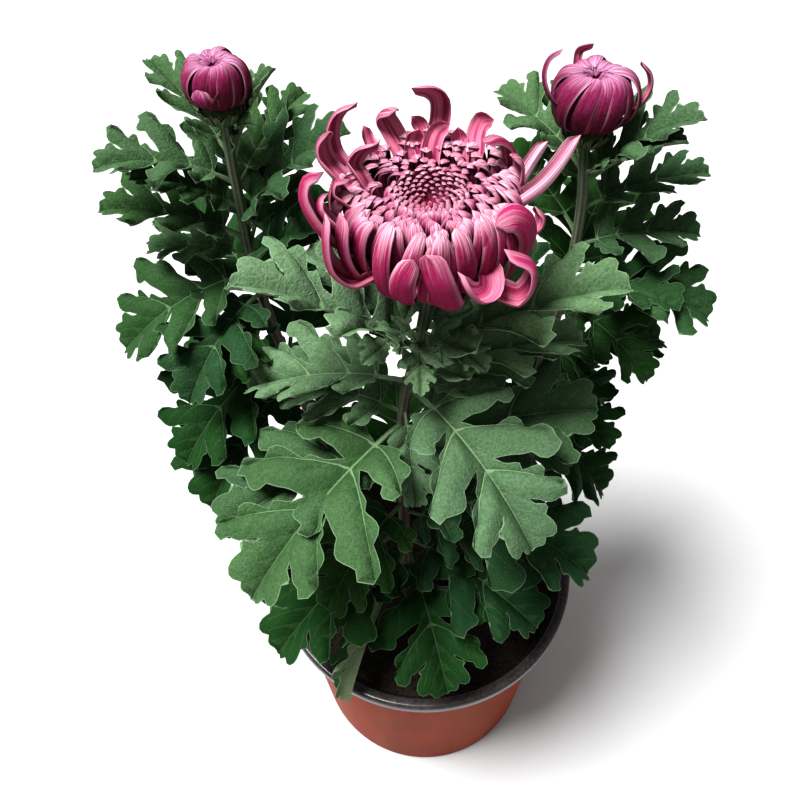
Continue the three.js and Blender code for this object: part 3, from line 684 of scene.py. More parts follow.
class Finish:
    """A material with its Principled shader, and short calls for what feeds it."""

    def __init__(self, name, **constants):
        self.material = bpy.data.materials.new(name)
        self.material.use_nodes = True
        self.tree = self.material.node_tree
        self.shader = self.tree.nodes["Principled BSDF"]
        for socket, value in constants.items():
            self.set(socket.replace("_", " "), value)

    def attributes(self, *names):
        """Numbers that the surface carries, by name."""
        return [
            result_of(self.tree, "ShaderNodeAttribute", {}, "Fac", attribute_name=name) for name in names
        ]

    def group(self, name, **inputs):
        return result_of(self.tree, "ShaderNodeGroup", inputs, node_tree=GROUPS[name])

    def blend(self, share, first, second):
        return result_of(self.tree, "ShaderNodeMix", {0: share, 6: first, 7: second}, 2, data_type="RGBA")

    def coats(self, base, *coats):
        """A colour, or a colour code, with others laid over it, each as its share and its code."""
        mixed = colour(base) if isinstance(base, str) else base
        for share, code in coats:
            mixed = self.blend(share, mixed, colour(code))
        return mixed

    def noise(self, place, scale, detail):
        inputs = {"Vector": place, "Scale": scale, "Detail": detail}
        return result_of(self.tree, "ShaderNodeTexNoise", inputs)

    def set(self, socket, value):
        feed(self.shader.inputs[socket], value)

    def bump(self, height, distance, strength=1.0):
        inputs = {"Height": height, "Distance": distance, "Strength": strength}
        self.set("Normal", result_of(self.tree, "ShaderNodeBump", inputs))


def leaf_finish():
    """Dark downy green with pale veins and rims, and a grey-green underside. Low leaves are darker and high
    ones paler, partly for age and partly as painted shade and painted light, and the valleys beside the veins
    hold painted shade.
    """
    finish = Finish("leaf", Specular_IOR_Level=0.03)
    along, across, tone, under = finish.attributes("along", "across", "tone", "underside")
    rim, stalk, from_vein, from_groove = finish.attributes("rim", "stalk", "vein", "groove")
    vein = (1 - from_vein.step(0.4, 1.1)) * along.between(0.95, 0.5)
    # Painted shade: the blade is darker in the valleys beside its veins.
    vein_valley_painted_shade = 1 - from_vein.step(1.0, 7.0)
    groove = 1 - from_groove.step(0.4, 1.6)
    down = finish.group("down", Scale=1500.0, Size=0.34)
    patches = finish.group("mottle", Scale=48.0, Contrast=0.2)
    grain = finish.group("mottle", Scale=800.0, Contrast=0.28)
    net = result_of(
        finish.tree, "ShaderNodeTexVoronoi",
        {"Vector": vector(finish.tree, along, across, tone), "Scale": 30.0}, "Distance",
        feature="DISTANCE_TO_EDGE",
    )
    lace = 1 - net.step(0.0, 0.1)
    hue = (tone * 57.0).sine() * 0.5 + 0.5
    # Tone rises with a leaf's height. The paler colour and the pale veins, rim and down grow with it, partly
    # for age and partly as painted light on high leaves and painted shade on low ones.
    upper = finish.coats(
        "0f2a0b",
        (tone ** 2.5, "768f6f"),
        (hue * 0.32, "264c16"),
        ((1 - hue) * 0.28, "2a4638"),
        (patches * tone * 0.25, "5a7c50"),
        (vein_valley_painted_shade * 0.3, "122e10"),
        (grain * 0.45, "102c0c"),
        (lace * tone * 0.06, "7a9a74"),
        # Whitish specks, stronger on high leaves: partly real down and partly a painted sheen.
        (down * patches.between(0.04, 0.28) * tone.between(0.3, 1.0), "b0c8ac"),
        (groove * 0.05, "7f9c73"),
        (vein * tone.between(0.2, 0.6), "8fab83"),
    )
    lower = finish.coats(
        "59684f", (patches * 0.6, "6c7a5e"), (lace * 0.2, "808c72"), (vein * 0.7, "909b7c")
    )
    pale_rim = (1 - rim.step(0.001, LEAF_MARGIN)) * tone.between(0.18, 0.42)
    blade = finish.coats(finish.blend(under, upper, lower), (pale_rim, "8ea588"))
    stem_end = 1 - along.step(0.02, 0.25)
    finish.set("Base Color", finish.blend(stalk, blade, finish.coats("66805a", (stem_end * 0.5, "575049"))))
    finish.set("Roughness", patches.between(0.48, 0.64))
    height = lace * 0.28 + down * 0.3 + grain * 0.5 + patches * 0.6 - vein * 0.2 - groove * 0.2
    finish.bump(height, 0.0003)
    return finish.material


def petal_finish(name, root, middle, pale):
    """Magenta backs with fine dark lines, darker at the root and pale at the crest, and dusky inner faces.
    The dark root is partly the petal's own colour and partly painted shade; the pale crest is partly its own
    colour and partly a painted highlight.
    """
    finish = Finish(name, Specular_IOR_Level=0.04)
    along, across, tone, inside, age = finish.attributes("along", "across", "tone", "inside", "age")
    fine = finish.group("streaks", Across=across, Along=along, Seed=tone, Lines=8.0, Length=1.0)
    broad = finish.group("streaks", Across=across, Along=along, Seed=tone + 3.0, Lines=2.4, Length=1.4)
    grain = finish.group("mottle", Scale=700.0, Contrast=0.3)
    edge = across.math("ABSOLUTE").step(0.7, 0.97)
    lines = (fine * 0.45 + broad * 0.55).step(0.25, 0.75)
    # The crest is paler, partly the petal's own colour and partly a painted highlight; the root is darker,
    # partly its own colour and partly painted shade.
    crest = (along + broad * 0.24 - 0.12).step(0.68, 1.0)
    body = finish.blend(along.step(0.3, 0.7), colour(root), finish.blend(tone, *map(colour, middle)))
    body = finish.blend(crest * lines.between(0.95, 0.5), body, finish.blend(age, *map(colour, pale)))
    back = finish.coats(
        body, (lines * 0.55, root), (edge * along.between(0.1, 0.5), "c495a8"), (grain * 0.06, "b78c9c")
    )
    front = finish.coats(
        "b4687e", (lines, "802a4c"), (along.step(0.6, 1.0) * 0.4, "a8546e"), (edge * 0.75, "bd8398")
    )
    finish.set("Base Color", finish.blend(inside.step(0.35, 0.65), back, front))
    finish.set("Roughness", fine.between(0.4, 0.55))
    finish.bump((fine * 0.6 + broad * 0.9) * (1 - inside * 0.75) + grain * 0.15, 0.0003, 0.9)
    return finish.material


def stem_finish():
    """Ribbed and downy: purplish brown below, grey-green towards the flower."""
    finish = Finish("stem", Sheen_Weight=0.06, Sheen_Roughness=0.45, Specular_IOR_Level=0.2)
    finish.set("Sheen Tint", colour("d5ddca"))
    rise, rib = finish.attributes("rise", "rib")
    patches = finish.group("mottle", Scale=160.0, Contrast=0.25)
    down = finish.group("down", Scale=2200.0, Size=0.35)
    young = finish.coats("34442f", (rib, "5d6f53"))
    old = finish.coats("2c2322", (rib, "584c44"))
    skin = finish.blend((rise + (patches - 0.5) * 0.25).step(0.55, 0.95), old, young)
    finish.set("Base Color", finish.coats(skin, (patches * 0.3, "4e363a"), (down * 0.22, "d7dccb")))
    finish.set("Roughness", patches.between(0.5, 0.68))
    finish.bump(down * 0.5 + patches * 0.5, 0.0002, 0.8)
    return finish.material


def bract_finish():
    """The small scales under a flower head: green with a dry brown margin."""
    finish = Finish("bract", Sheen_Weight=0.05, Sheen_Roughness=0.5, Specular_IOR_Level=0.2)
    across, along, tone = finish.attributes("across", "along", "tone")
    streak = finish.group("streaks", Across=across, Along=along, Seed=tone, Lines=4.0, Length=1.0)
    down = finish.group("down", Scale=2200.0, Size=0.35)
    margin = across.math("ABSOLUTE").step(0.55, 0.95)
    skin = finish.coats("223820", (streak, "425a30"), (margin * 0.8, "6e6246"), (down * 0.2, "cdd6bd"))
    finish.set("Base Color", skin)
    finish.set("Roughness", streak.between(0.5, 0.65))
    finish.bump(streak * 0.6 + down * 0.3, 0.0002, 0.8)
    return finish.material


def core_finish():
    """The dark heart between the petals."""
    finish = Finish("heart", Roughness=0.8, Specular_IOR_Level=0.2)
    patches = finish.group("mottle", Scale=400.0, Contrast=0.3)
    finish.set("Base Color", finish.coats("6e0e2a", (patches, "8a2040")))
    finish.bump(patches, 0.0003)
    return finish.material


def clay_plastic_finish():
    """Thin brick-coloured plastic, satin, with faint scuffs and dust drawn out along its height."""
    finish = Finish("brick_plastic", Specular_IOR_Level=0.01)
    place = result_of(finish.tree, "ShaderNodeTexCoord", {}, "Object")
    drawn_out = result_of(finish.tree, "ShaderNodeMapping", {"Vector": place, "Scale": (1.0, 1.0, 0.16)})
    flow = finish.noise(drawn_out, 38.0, 5.0).step(0.35, 0.7)
    scuffs = finish.noise(drawn_out, 320.0, 6.0).step(0.58, 0.72)
    patches = finish.group("mottle", Scale=26.0, Contrast=0.3)
    skin = finish.coats("702c18", (patches, "823822"), (flow * 0.3, "9f533a"), (scuffs * 0.12, "b07a66"))
    finish.set("Base Color", skin)
    finish.set("Roughness", (patches * 0.5 + scuffs * 0.5).between(0.34, 0.5))
    finish.bump(scuffs * -0.4 + patches * 0.5, 0.00015, 0.6)
    return finish.material


def dark_plastic_finish():
    """The rim and the inside of the pot: near-black glossy plastic, dusty in places."""
    finish = Finish("dark_plastic", Specular_IOR_Level=0.35)
    patches = finish.group("mottle", Scale=60.0, Contrast=0.25)
    dust = finish.group("mottle", Scale=700.0, Contrast=0.12)
    finish.set("Base Color", finish.coats("1d191a", (patches, "2e292a"), (dust * 0.06, "8a8280")))
    finish.set("Roughness", patches.between(0.2, 0.32))
    finish.bump(dust * 0.3 + patches * 0.4, 0.0001, 0.4)
    return finish.material


def peat_finish():
    """Dark peat, broken up by paler grains."""
    finish = Finish("peat", Roughness=0.95, Specular_IOR_Level=0.25)
    patches = finish.group("mottle", Scale=180.0, Contrast=0.3)
    grain = finish.group("mottle", Scale=1400.0, Contrast=0.3)
    finish.set("Base Color", finish.coats("14100d", (patches, "261e19"), (grain * 0.35, "3c322b")))
    finish.bump(patches * 0.6 + grain * 0.6, 0.0006)
    return finish.material


# ---- leaves ----------------------------------------------------------------------------------------------

def toothed(line, teeth, rng):
    """A lobe's edge with rounded teeth that lean forwards, and fade out towards its notches."""
    sizes = np.array([rng.uniform(*TOOTH_SIZES) for _ in range(teeth)])
    bounds = np.r_[0, np.cumsum(sizes)] / sizes.sum()
    within = np.tile(np.linspace(0, 1, LEAF_TOOTH_POINTS, endpoint=False), teeth)
    share = np.repeat(bounds[:-1], LEAF_TOOTH_POINTS) + within * np.repeat(np.diff(bounds), LEAF_TOOTH_POINTS)
    share, within = np.r_[share, 1], np.r_[within, 0]
    travelled = np.r_[0, np.cumsum(np.linalg.norm(np.diff(line, axis=0), axis=1))]
    line = np.stack([np.interp(share * travelled[-1], travelled, column) for column in line.T], axis=1)
    outward = np.stack([-np.gradient(line[:, 1]), np.gradient(line[:, 0])], axis=1)
    lean, blunt = TOOTH_SHAPE
    tooth = np.sin(math.pi * within**lean) ** blunt
    begin, span = TOOTH_FADE
    fade = np.clip((np.minimum(share, 1 - share) - begin) / span, 0, 1)
    return line + unit(outward) * (LEAF_TOOTH * tooth * fade)[:, None]


def leaf_half(rng):
    """One half of a leaf's outline, its stalk first, with each lobe a little longer or shorter."""
    line = [(0, LEAF_STALK[1]), (LEAF_STALK[0] * 0.5, LEAF_STALK[1])]
    tips = []
    for points, teeth in LEAF_LOBES:
        lobe = np.array(points, float)
        reach, shift = rng.uniform(*LOBE_REACH), rng.uniform(-LOBE_SHIFT, LOBE_SHIFT)
        lobe[1:-1] = lobe[1:-1] * (1, reach) + (shift, 0)
        edge = toothed(smooth_line(lobe, 8), teeth, rng)
        tips.append(edge[edge[:, 1].argmax()])
        line.extend(map(tuple, edge[:-1]))
    return np.array([*line, (1, 0)]), tips[:-1]


def distances(points, starts, ends):
    """How far each point is from each segment, and how far along the segment that is."""
    run = ends - starts
    from_start = points[:, None] - starts
    share = np.clip((from_start * run).sum(2) / np.maximum((run**2).sum(1), 1e-12), 0, 1)
    return np.linalg.norm(from_start - share[..., None] * run, axis=2), share


def inside_outline(points, outline):
    """Which points lie inside a closed outline."""
    x, y = points[:, :1], points[:, 1:]
    start, end = outline, np.roll(outline, -1, axis=0)
    spans = (start[:, 1] > y) != (end[:, 1] > y)
    rise = np.where(end[:, 1] == start[:, 1], 1e-12, end[:, 1] - start[:, 1])
    crossing = start[:, 0] + (y - start[:, 1]) * (end[:, 0] - start[:, 0]) / rise
    return (spans & (x < crossing)).sum(1) % 2 == 1


def reach_inside(outline, start, heading):
    """How far a ray runs from a point inside an outline before it meets it."""
    a, b = outline, np.roll(outline, -1, axis=0)
    edge = b - a
    cross = heading[0] * edge[:, 1] - heading[1] * edge[:, 0]
    cross = np.where(abs(cross) < 1e-12, 1e-12, cross)
    offset = a - start
    along = (offset[:, 0] * edge[:, 1] - offset[:, 1] * edge[:, 0]) / cross
    share = (offset[:, 0] * heading[1] - offset[:, 1] * heading[0]) / cross
    hits = along[(share >= 0) & (share <= 1) & (along > 1e-6)]
    return hits.min() if len(hits) else 0.0


def leaf_veins(outline, tips):
    """The main and the minor veins as (points, width at the root, width at the tip), in shares of length."""
    midrib = np.linspace(0, MIDRIB_END, MIDRIB_POINTS)
    main = [(np.stack([midrib, np.zeros(len(midrib))], axis=1), *VEIN_WIDTHS["midrib"])]
    minor = []

    def curved(start, bow, end, share):
        return (1 - share) ** 2 * start + 2 * (1 - share) * share * bow + share**2 * end

    def branch(start, heading, turn):
        cos, sin = math.cos(turn), math.sin(turn)
        heading = np.array([heading[0] * cos - heading[1] * sin, heading[0] * sin + heading[1] * cos])
        ahead = unit(heading + (BRANCH_BEND, 0))
        bend = start + heading * reach_inside(outline, start, heading) * BRANCH_REACH[0]
        end = bend + ahead * reach_inside(outline, bend, ahead) * BRANCH_REACH[1]
        line = curved(start, bend, end, np.linspace(0, 1, BRANCH_POINTS)[:, None])
        minor.append((line, *VEIN_WIDTHS["tooth"]))

    for half, half_tips in zip((1, -1), tips):
        for root, tip in zip(LATERAL_ROOTS, half_tips):
            start, end = np.array([root, 0.0]), tip * (1, half)
            bow = mix(start, end, 0.5) + np.array([LATERAL_BOW[0], LATERAL_BOW[1] * half])
            line = curved(start, bow, end, np.linspace(0, LATERAL_END, LATERAL_POINTS)[:, None])
            main.append((line, *VEIN_WIDTHS["lateral"]))
            for place in LATERAL_BRANCHES:
                for turn in LATERAL_TURNS:
                    branch(line[place], unit(line[place + 1] - line[place]), turn)
        for root in MIDRIB_BRANCHES:
            branch(np.array([root, 0.0]), np.array([1.0, 0.0]), MIDRIB_TURN * half)
    return main, minor


def vein_segments(veins):
    """Every segment of a set of veins, with the vein's width there."""
    starts = np.vstack([line[:-1] for line, *_ in veins])
    ends = np.vstack([line[1:] for line, *_ in veins])
    widths = [np.linspace(wide, thin, len(line) - 1) for line, wide, thin in veins]
    return starts, ends, np.concatenate(widths)


def in_widths(points, starts, ends, widths, most):
    """How far each point is from the nearest vein, in that vein's widths."""
    return np.clip((distances(points, starts, ends)[0] / widths).min(1), 0, most)


def beside(line, widths):
    """Points on both sides of a line, at distances given for its points."""
    along = unit(np.gradient(line, axis=0))
    out = np.stack([-along[:, 1], along[:, 0]], axis=1) * np.reshape(widths, (-1, 1))
    return np.vstack([line + out, line - out])


def leaf_template(seed):
    """A flat leaf cut into triangles along its veins, with each point's distance from vein and rim."""
    rng = random.Random(seed)
    (upper, upper_tips), (lower, lower_tips) = leaf_half(rng), leaf_half(rng)
    outline = np.vstack([lower * (1, -1), upper[-2::-1]])
    main, minor = leaf_veins(outline, (upper_tips, lower_tips))
    main_starts, main_ends, main_widths = vein_segments(main)
    starts, ends, widths = vein_segments(main + minor)
    rim_ends = np.roll(outline, -1, axis=0)

    def from_rim(points):
        return distances(points, outline, rim_ends)[0].min(1)

    def from_veins(points):
        return distances(points, starts, ends)[0].min(1)

    stray, half_width = LEAF_GRID["stray"], LEAF_GRID["half_width"]
    grid = np.array([
        (along + rng.uniform(-stray, stray) * LEAF_GRAIN, across + (row % 2) * LEAF_GRAIN / 2)
        for row, along in enumerate(np.arange(LEAF_GRID["start"], 1.0, LEAF_GRAIN * LEAF_GRID["row"]))
        for across in np.arange(-half_width, half_width, LEAF_GRAIN)
    ])
    off_rim, off_vein = LEAF_GRAIN * LEAF_GRID["off_rim"], LEAF_GRAIN * LEAF_GRID["off_vein"]
    grid = grid[(from_rim(grid) > off_rim) & (from_veins(grid) > off_vein)]
    margin = beside(outline, LEAF_MARGIN * RIM_POINTS[0])
    margin = margin[from_rim(margin) > LEAF_MARGIN * RIM_POINTS[1]]
    banks = np.vstack([
        beside(line[1:-1], np.linspace(wide, thin, len(line) - 2) * VEIN_BANK) for line, wide, thin in main
    ])
    banks = banks[distances(banks, main_starts, main_ends)[0].min(1) > BANK_GAP]
    spare = np.vstack([grid, margin, banks])
    spare = spare[inside_outline(spare, outline)]

    lines = [line for line, *_ in main + minor]
    edges = [(index, (index + 1) % len(outline)) for index in range(len(outline))]
    count = len(outline)
    for line in lines:
        edges += [(count + index, count + index + 1) for index in range(len(line) - 1)]
        count += len(line)
    for _ in range(2):
        made, faces, place = cut_up([outline, *lines, spare], edges)
        spare = np.vstack([spare, between_lines(made, faces, from_rim, from_veins)])
    made, faces, place = cut_up([outline, *lines, spare], edges)
    rim = [place[index] for index in range(len(outline))]
    return {
        "flat": made,
        "faces": faces,
        "rim": [index for index, after in zip(rim, rim[1:] + rim[:1]) if index != after],
        "vein": in_widths(made, main_starts, main_ends, main_widths, VEIN_REACH["vein"]),
        "groove": in_widths(made, starts, ends, widths, VEIN_REACH["groove"]),
        "rim_distance": from_rim(made),
    }


def cut_up(points, edges):
    """Triangles, turned face up, that keep the edges, and where each given point went."""
    flat = [Vector(point) for point in np.vstack(points)]
    made, _, faces, origins, _, _ = delaunay_2d_cdt(flat, edges, [], 1, 1e-5)
    made = np.array([tuple(point) for point in made])
    faces = np.array([face if turns_left(made, face) else face[::-1] for face in faces])
    return made, faces, {origin: index for index, found in enumerate(origins) for origin in found}


def between_lines(made, faces, from_rim, from_veins):
    """Points to add where a triangle or an edge runs from one line to another, so that colour can change."""
    on_line = np.minimum(from_rim(made), from_veins(made)) < 1e-4
    edges = np.unique(np.sort(np.vstack([faces[:, :2], faces[:, 1:], faces[:, ::2]]), axis=1), axis=0)
    edges = edges[on_line[edges].all(1)]
    full = faces[on_line[faces].all(1)]
    spots = np.vstack([made[edges].mean(1), made[full].mean(1)])
    return spots[np.minimum(from_rim(spots), from_veins(spots)) > LINE_GAP]


def turns_left(points, face):
    """Whether a triangle's corners run anticlockwise."""
    (ax, ay), (bx, by), (cx, cy) = points[list(face)]
    return (bx - ax) * (cy - ay) > (by - ay) * (cx - ax)


def leaf_frames(row, base):
    """Point, side and normal at even steps along a leaf's curved middle line."""
    _, azimuth, tilt, bend, length, roll, _, _ = row
    azimuth, roll = math.radians(azimuth), math.radians(roll)
    out = np.array([math.cos(azimuth), math.sin(azimuth), 0.0])
    level = np.cross(UP, out)

    def heading(share):
        angle = math.radians(tilt + bend * (0.5 - share))
        return out * math.cos(angle) + UP * math.sin(angle)

    point, points, sides, normals = np.array(base, float), [], [], []
    for step in range(LEAF_STEPS + 1):
        lift = np.cross(heading(step / LEAF_STEPS), level)
        points.append(point)
        sides.append(level * math.cos(roll) + lift * math.sin(roll))
        normals.append(lift * math.cos(roll) - level * math.sin(roll))
        point = point + heading((step + 0.5) / LEAF_STEPS) * length / LEAF_STEPS
    return np.array(points), np.array(sides), np.array(normals)


def at_shares(frames, shares):
    """The frames between the steps, at shares of the length."""
    steps = np.linspace(0, 1, len(frames[0]))
    return [
        np.stack([np.interp(shares, steps, column) for column in values.T], axis=1) for values in frames
    ]


def add_blade(patchwork, row, frames, template, tone, breadth, rng):
    """Maps a flat leaf onto its curved frames, folded, drooping, waved at the edge and puffed up beside its
    veins."""
    *_, length, _, fold, width = row
    fold = math.radians(fold + LEAF_FOLD)
    along, flat_across = template["flat"].T
    across = flat_across * width * breadth * length
    middle, side, normal = at_shares(frames, along)
    normal = unit(normal)
    spread = np.clip(abs(flat_across) / EDGE_SPREAD[0], 0, EDGE_SPREAD[1])
    rise = abs(across) * math.sin(fold) - LEAF_DROOP * across**2
    for half in (1, -1):
        on_half = np.where(flat_across * half > 0, 1.0, 0.0) * spread**2
        waves, start = rng.uniform(*EDGE_WAVES), rng.uniform(0, 2 * math.pi)
        rise = rise + on_half * rng.uniform(*EDGE_WAVE_HEIGHTS) * np.sin(2 * math.pi * waves * along + start)
        for lobe in LOBE_PLACES:
            lift = rng.uniform(*LOBE_LIFTS) * length / USUAL_LENGTH
            rise = rise + on_half * lift * np.exp(-(((along - lobe) / LOBE_SPAN) ** 2))
    puff = sum(
        height * (1 - np.exp(-((template[line] / reach) ** 2))) for line, (height, reach) in PUFFS.items()
    )
    sunken = VEIN_SINK * np.exp(-template["vein"] ** 2)
    turned_down = np.exp(-((template["rim_distance"] / RIM_FALL) ** 2))
    begin, span = RELIEF_START
    growing = np.clip((along - begin) / span, 0, 1)
    rise = rise + (puff - sunken - turned_down) * growing * length / USUAL_LENGTH
    centre = middle + side * (across * math.cos(fold))[:, None] + normal * rise[:, None]
    thin, growth = BLADE_RIM
    half_thickness = BLADE_THICKNESS / 2 * np.clip(thin + template["rim_distance"] * growth, thin, 1)
    upper = centre + normal * half_thickness[:, None]
    lower = centre - normal * half_thickness[:, None]
    count, rim = len(along), template["rim"]
    wall = [(a, a + count, b + count, b) for a, b in zip(rim, rim[1:] + rim[:1])]
    patchwork.add(
        np.vstack([upper, lower]),
        [*template["faces"], *(template["faces"][:, ::-1] + count), *wall],
        along=np.tile(along, 2), across=np.tile(flat_across, 2), vein=np.tile(template["vein"], 2),
        groove=np.tile(template["groove"], 2), rim=np.tile(template["rim_distance"], 2),
        underside=np.repeat([0.0, 1.0], count), stalk=0.0, tone=tone,
    )


def add_stalk(patchwork, length, frames, tone):
    """The leaf's stalk, which runs on as a ridge under its blade and tapers away."""
    shares = np.array(STALK_SHARES)
    radii = np.interp(shares, *zip(*STALK_RADII)) * math.sqrt(length / USUAL_LENGTH)
    middle, side, normal = at_shares(frames, shares)
    middle = middle - unit(normal) * (radii * STALK_SINK[0] + STALK_SINK[1])[:, None]
    lines = [
        middle + side * (radii * math.cos(angle))[:, None] + normal * (radii * math.sin(angle))[:, None]
        for angle in around(STALK_SIDES)
    ]
    patchwork.add(
        *tube(lines), along=np.repeat(shares, STALK_SIDES), across=0.0, vein=0.0, groove=0.0, rim=1.0,
        underside=1.0, stalk=1.0, tone=tone,
    )


def stem_point(line, height):
    """Where a stem's middle line is at a height."""
    line = np.array(line, float)
    return np.array([np.interp(height, line[:, 2], line[:, axis]) for axis in range(3)])


def leaves(name, templates, material):
    """All the leaves of one stem, with their stalks."""
    rng = random.Random("leaves " + name)
    patchwork = Patchwork()
    for row in LEAVES[name]:
        frames = leaf_frames(row, stem_point(STEM_LINES[name], row[0]))
        # Painted shade, partly age: a leaf's tone rises with its height on the stem.
        old, young = LEAF_AGE_AND_SHADE_HEIGHTS[name]
        tone = min(1.0, max(0.0, (row[0] - old) / (young - old) + rng.uniform(*AGE_AND_SHADE_CHANCE)))
        add_blade(patchwork, row, frames, rng.choice(templates), tone, mix(LEAF_BREADTH, 1, tone), rng)
        add_stalk(patchwork, row[4], frames, tone)
    return patchwork.piece("leaves_" + name, material, sharp=BLADE_SHARP)


# ---- stems -----------------------------------------------------------------------------------------------

def stem_tree():
    """Sweeps a ribbed section along a stem's middle line, thicker at the foot."""
    inputs = {
        "Line": "Geometry", "Foot radius": 0.003, "Head radius": 0.002, "Ribs": 6, "Rib height": 0.09,
        "Sides": 36, "Knots": 0.08, "Material": "Material",
    }
    tree, wanted, result = new_tree("ribbed stem", "GeometryNodeTree", "Geometry", inputs)
    rise = result_of(tree, "GeometryNodeSplineParameter", {}, "Factor")
    knots = result_of(tree, "ShaderNodeTexNoise", {"Scale": 45.0, "Detail": 1.0})
    swelling = (knots - 0.5) * wanted["Knots"] * 2 + 1
    radius = rise.between(wanted["Foot radius"], wanted["Head radius"]) * swelling
    line = stored(tree, wanted["Line"], "rise", rise)
    rail = result_of(tree, "GeometryNodeSetCurveRadius", {"Curve": line, "Radius": radius})
    ring = result_of(
        tree, "GeometryNodeCurvePrimitiveCircle", {"Resolution": wanted["Sides"], "Radius": 1.0}
    )
    x, y, _ = parts(tree, result_of(tree, "GeometryNodeInputPosition", {}))
    ridge = (y.math("ARCTAN2", x) * wanted["Ribs"]).cosine()
    ribbed = stored(tree, ring, "rib", ridge * 0.5 + 0.5)
    grow = ridge * wanted["Rib height"] + 1
    section = result_of(
        tree, "GeometryNodeSetPosition", {"Geometry": ribbed, "Position": vector(tree, x * grow, y * grow)}
    )
    skin = add_node(
        tree, "GeometryNodeCurveToMesh", {"Curve": rail, "Profile Curve": section, "Fill Caps": True}
    )
    if "Scale" in skin.inputs:  # where the sweep doesn't follow the curve's own radius
        feed(skin.inputs["Scale"], result_of(tree, "GeometryNodeInputRadius", {}))
    end_tree(tree, Formula(tree, skin.outputs[0]), wanted["Material"], result)
    return tree


def line_object(points):
    """A curve through points in millimetres."""
    curve = bpy.data.curves.new("line", "CURVE")
    curve.dimensions = "3D"
    spline = curve.splines.new("POLY")
    spline.points.add(len(points) - 1)
    for place, point in zip(spline.points, np.asarray(points) * MM):
        place.co = (*point, 1.0)
    return linked("line", curve)


def stem(name, tree, material):
    """A stem from its foot in the soil to its flower head. It leaves the soil upright."""
    (x, y, z), *rest = STEM_LINES[name]
    upright = [(x, y, z - STEM_FOOT_DEPTH), (x, y, z - STEM_FOOT_DEPTH / 2), (x, y, z + 2), *rest]
    values = {
        "Foot radius": STEM_RADII[0] * MM, "Head radius": STEM_RADII[1] * MM, "Material": material,
    }
    rail = line_object(evenly(smooth_line(upright, 12), STEM_STEPS))
    return grown("stem_" + name, tree, rail, values)


# ---- petals ----------------------------------------------------------------------------------------------

def petal_blanks(tree, wanted):
    """One closed tube for each petal, all at the same place. Each carries its number and its chances, and its
    points carry their places on the petal."""
    blank = result_of(
        tree, "GeometryNodeMeshCylinder",
        {"Vertices": wanted["Sides"], "Side Segments": wanted["Steps"], "Radius": 1.0, "Depth": 1.0},
    )
    seats = result_of(
        tree, "GeometryNodeMeshLine", {"Count": wanted["Petals"], "Offset": (0.0, 0.0, 0.0)}
    )
    blanks = result_of(tree, "GeometryNodeInstanceOnPoints", {"Points": seats, "Instance": blank})
    number = result_of(tree, "GeometryNodeInputIndex", {})
    blanks = stored(tree, blanks, "number", number, "INSTANCE")
    for offset, chance in enumerate(("tone", "chance_lean", "chance_twist", "chance_reach", "chance_crest")):
        seed = {"Seed": wanted["Seed"] + offset * 11.0}
        draw = result_of(tree, "FunctionNodeRandomValue", seed, 1, data_type="FLOAT")
        blanks = stored(tree, blanks, chance, draw, "INSTANCE")
    petals = result_of(tree, "GeometryNodeRealizeInstances", {"Geometry": blanks})
    x, y, z = parts(tree, result_of(tree, "GeometryNodeInputPosition", {}))
    for name, value in (("across", x * -1), ("outward", y), ("along", z + 0.5)):
        petals = stored(tree, petals, name, value)
    return stored(tree, petals, "inside", 0.5 - carried(tree, "outward") * 0.5)


def petal_path(tree, wanted, share, along):
    """Each petal's middle line: its radius and height, and its direction as (out, up). It leaves the core,
    swings out and up, and turns back in."""
    uneven = wanted["Unevenness"]
    chance_reach, chance_crest = carried(tree, "chance_reach"), carried(tree, "chance_crest")
    reach = share.between(WHORL["inner_reach"], 1.0) * (1 + (chance_reach - 0.5) * 2 * uneven)
    bottom = wanted["Depth"] * -1
    root = (share * WHORL["root_fall"]).math("MINIMUM", 1.0).between(
        wanted["Core top"] - WHORL["root_drop"] * MM, bottom
    )
    spread = share ** wanted["Tip spread"]
    tip_radius = spread.between(wanted["Tip radius inner"], wanted["Tip radius outer"])
    tip_radius = tip_radius * (1 + (chance_crest - 0.5) * 2 * uneven)
    crest = share.between(wanted["Crest inner"], wanted["Crest outer"])
    crest = crest + wanted["Radius"] * (chance_crest - 0.5) * uneven
    shoulder = reach.between(tip_radius, wanted["Radius"] * WHORL["high_handle"])
    tip_height = share.between(wanted["Tip height inner"], wanted["Tip height outer"])
    # Some of the outer petals stop short of the top, on the shoulder of the whorl.
    short = wanted["Layered"] * share * share * chance_reach
    low_radius, low_fall = WHORL["low_handle"]
    (nearer, lower), (tip_out, tip_up) = WHORL["short_shoulder"], WHORL["short_tip"]
    handles = [
        (wanted["Core radius"] * WHORL["root_radius"] * reach, root),
        (wanted["Radius"] * low_radius * reach, (share * low_fall).between(root, bottom)),
        (shoulder * (1 - short * nearer), crest - wanted["Radius"] * short * lower),
        (short.between(tip_radius, shoulder * tip_out), short.between(tip_height, crest * tip_up)),
    ]
    rest = 1 - along

    def bezier(a, b, c, d):
        place = a * rest**3 + b * rest * rest * along * 3 + c * rest * along * along * 3 + d * along**3
        run = (b - a) * rest * rest + (c - b) * rest * along * 2 + (d - c) * along * along
        return place, run

    (radius, run_out), (height, run_up) = (bezier(*places) for places in zip(*handles))
    speed = (run_out * run_out + run_up * run_up).math("SQRT") + 1e-9
    return radius, height, run_out / speed, run_up / speed


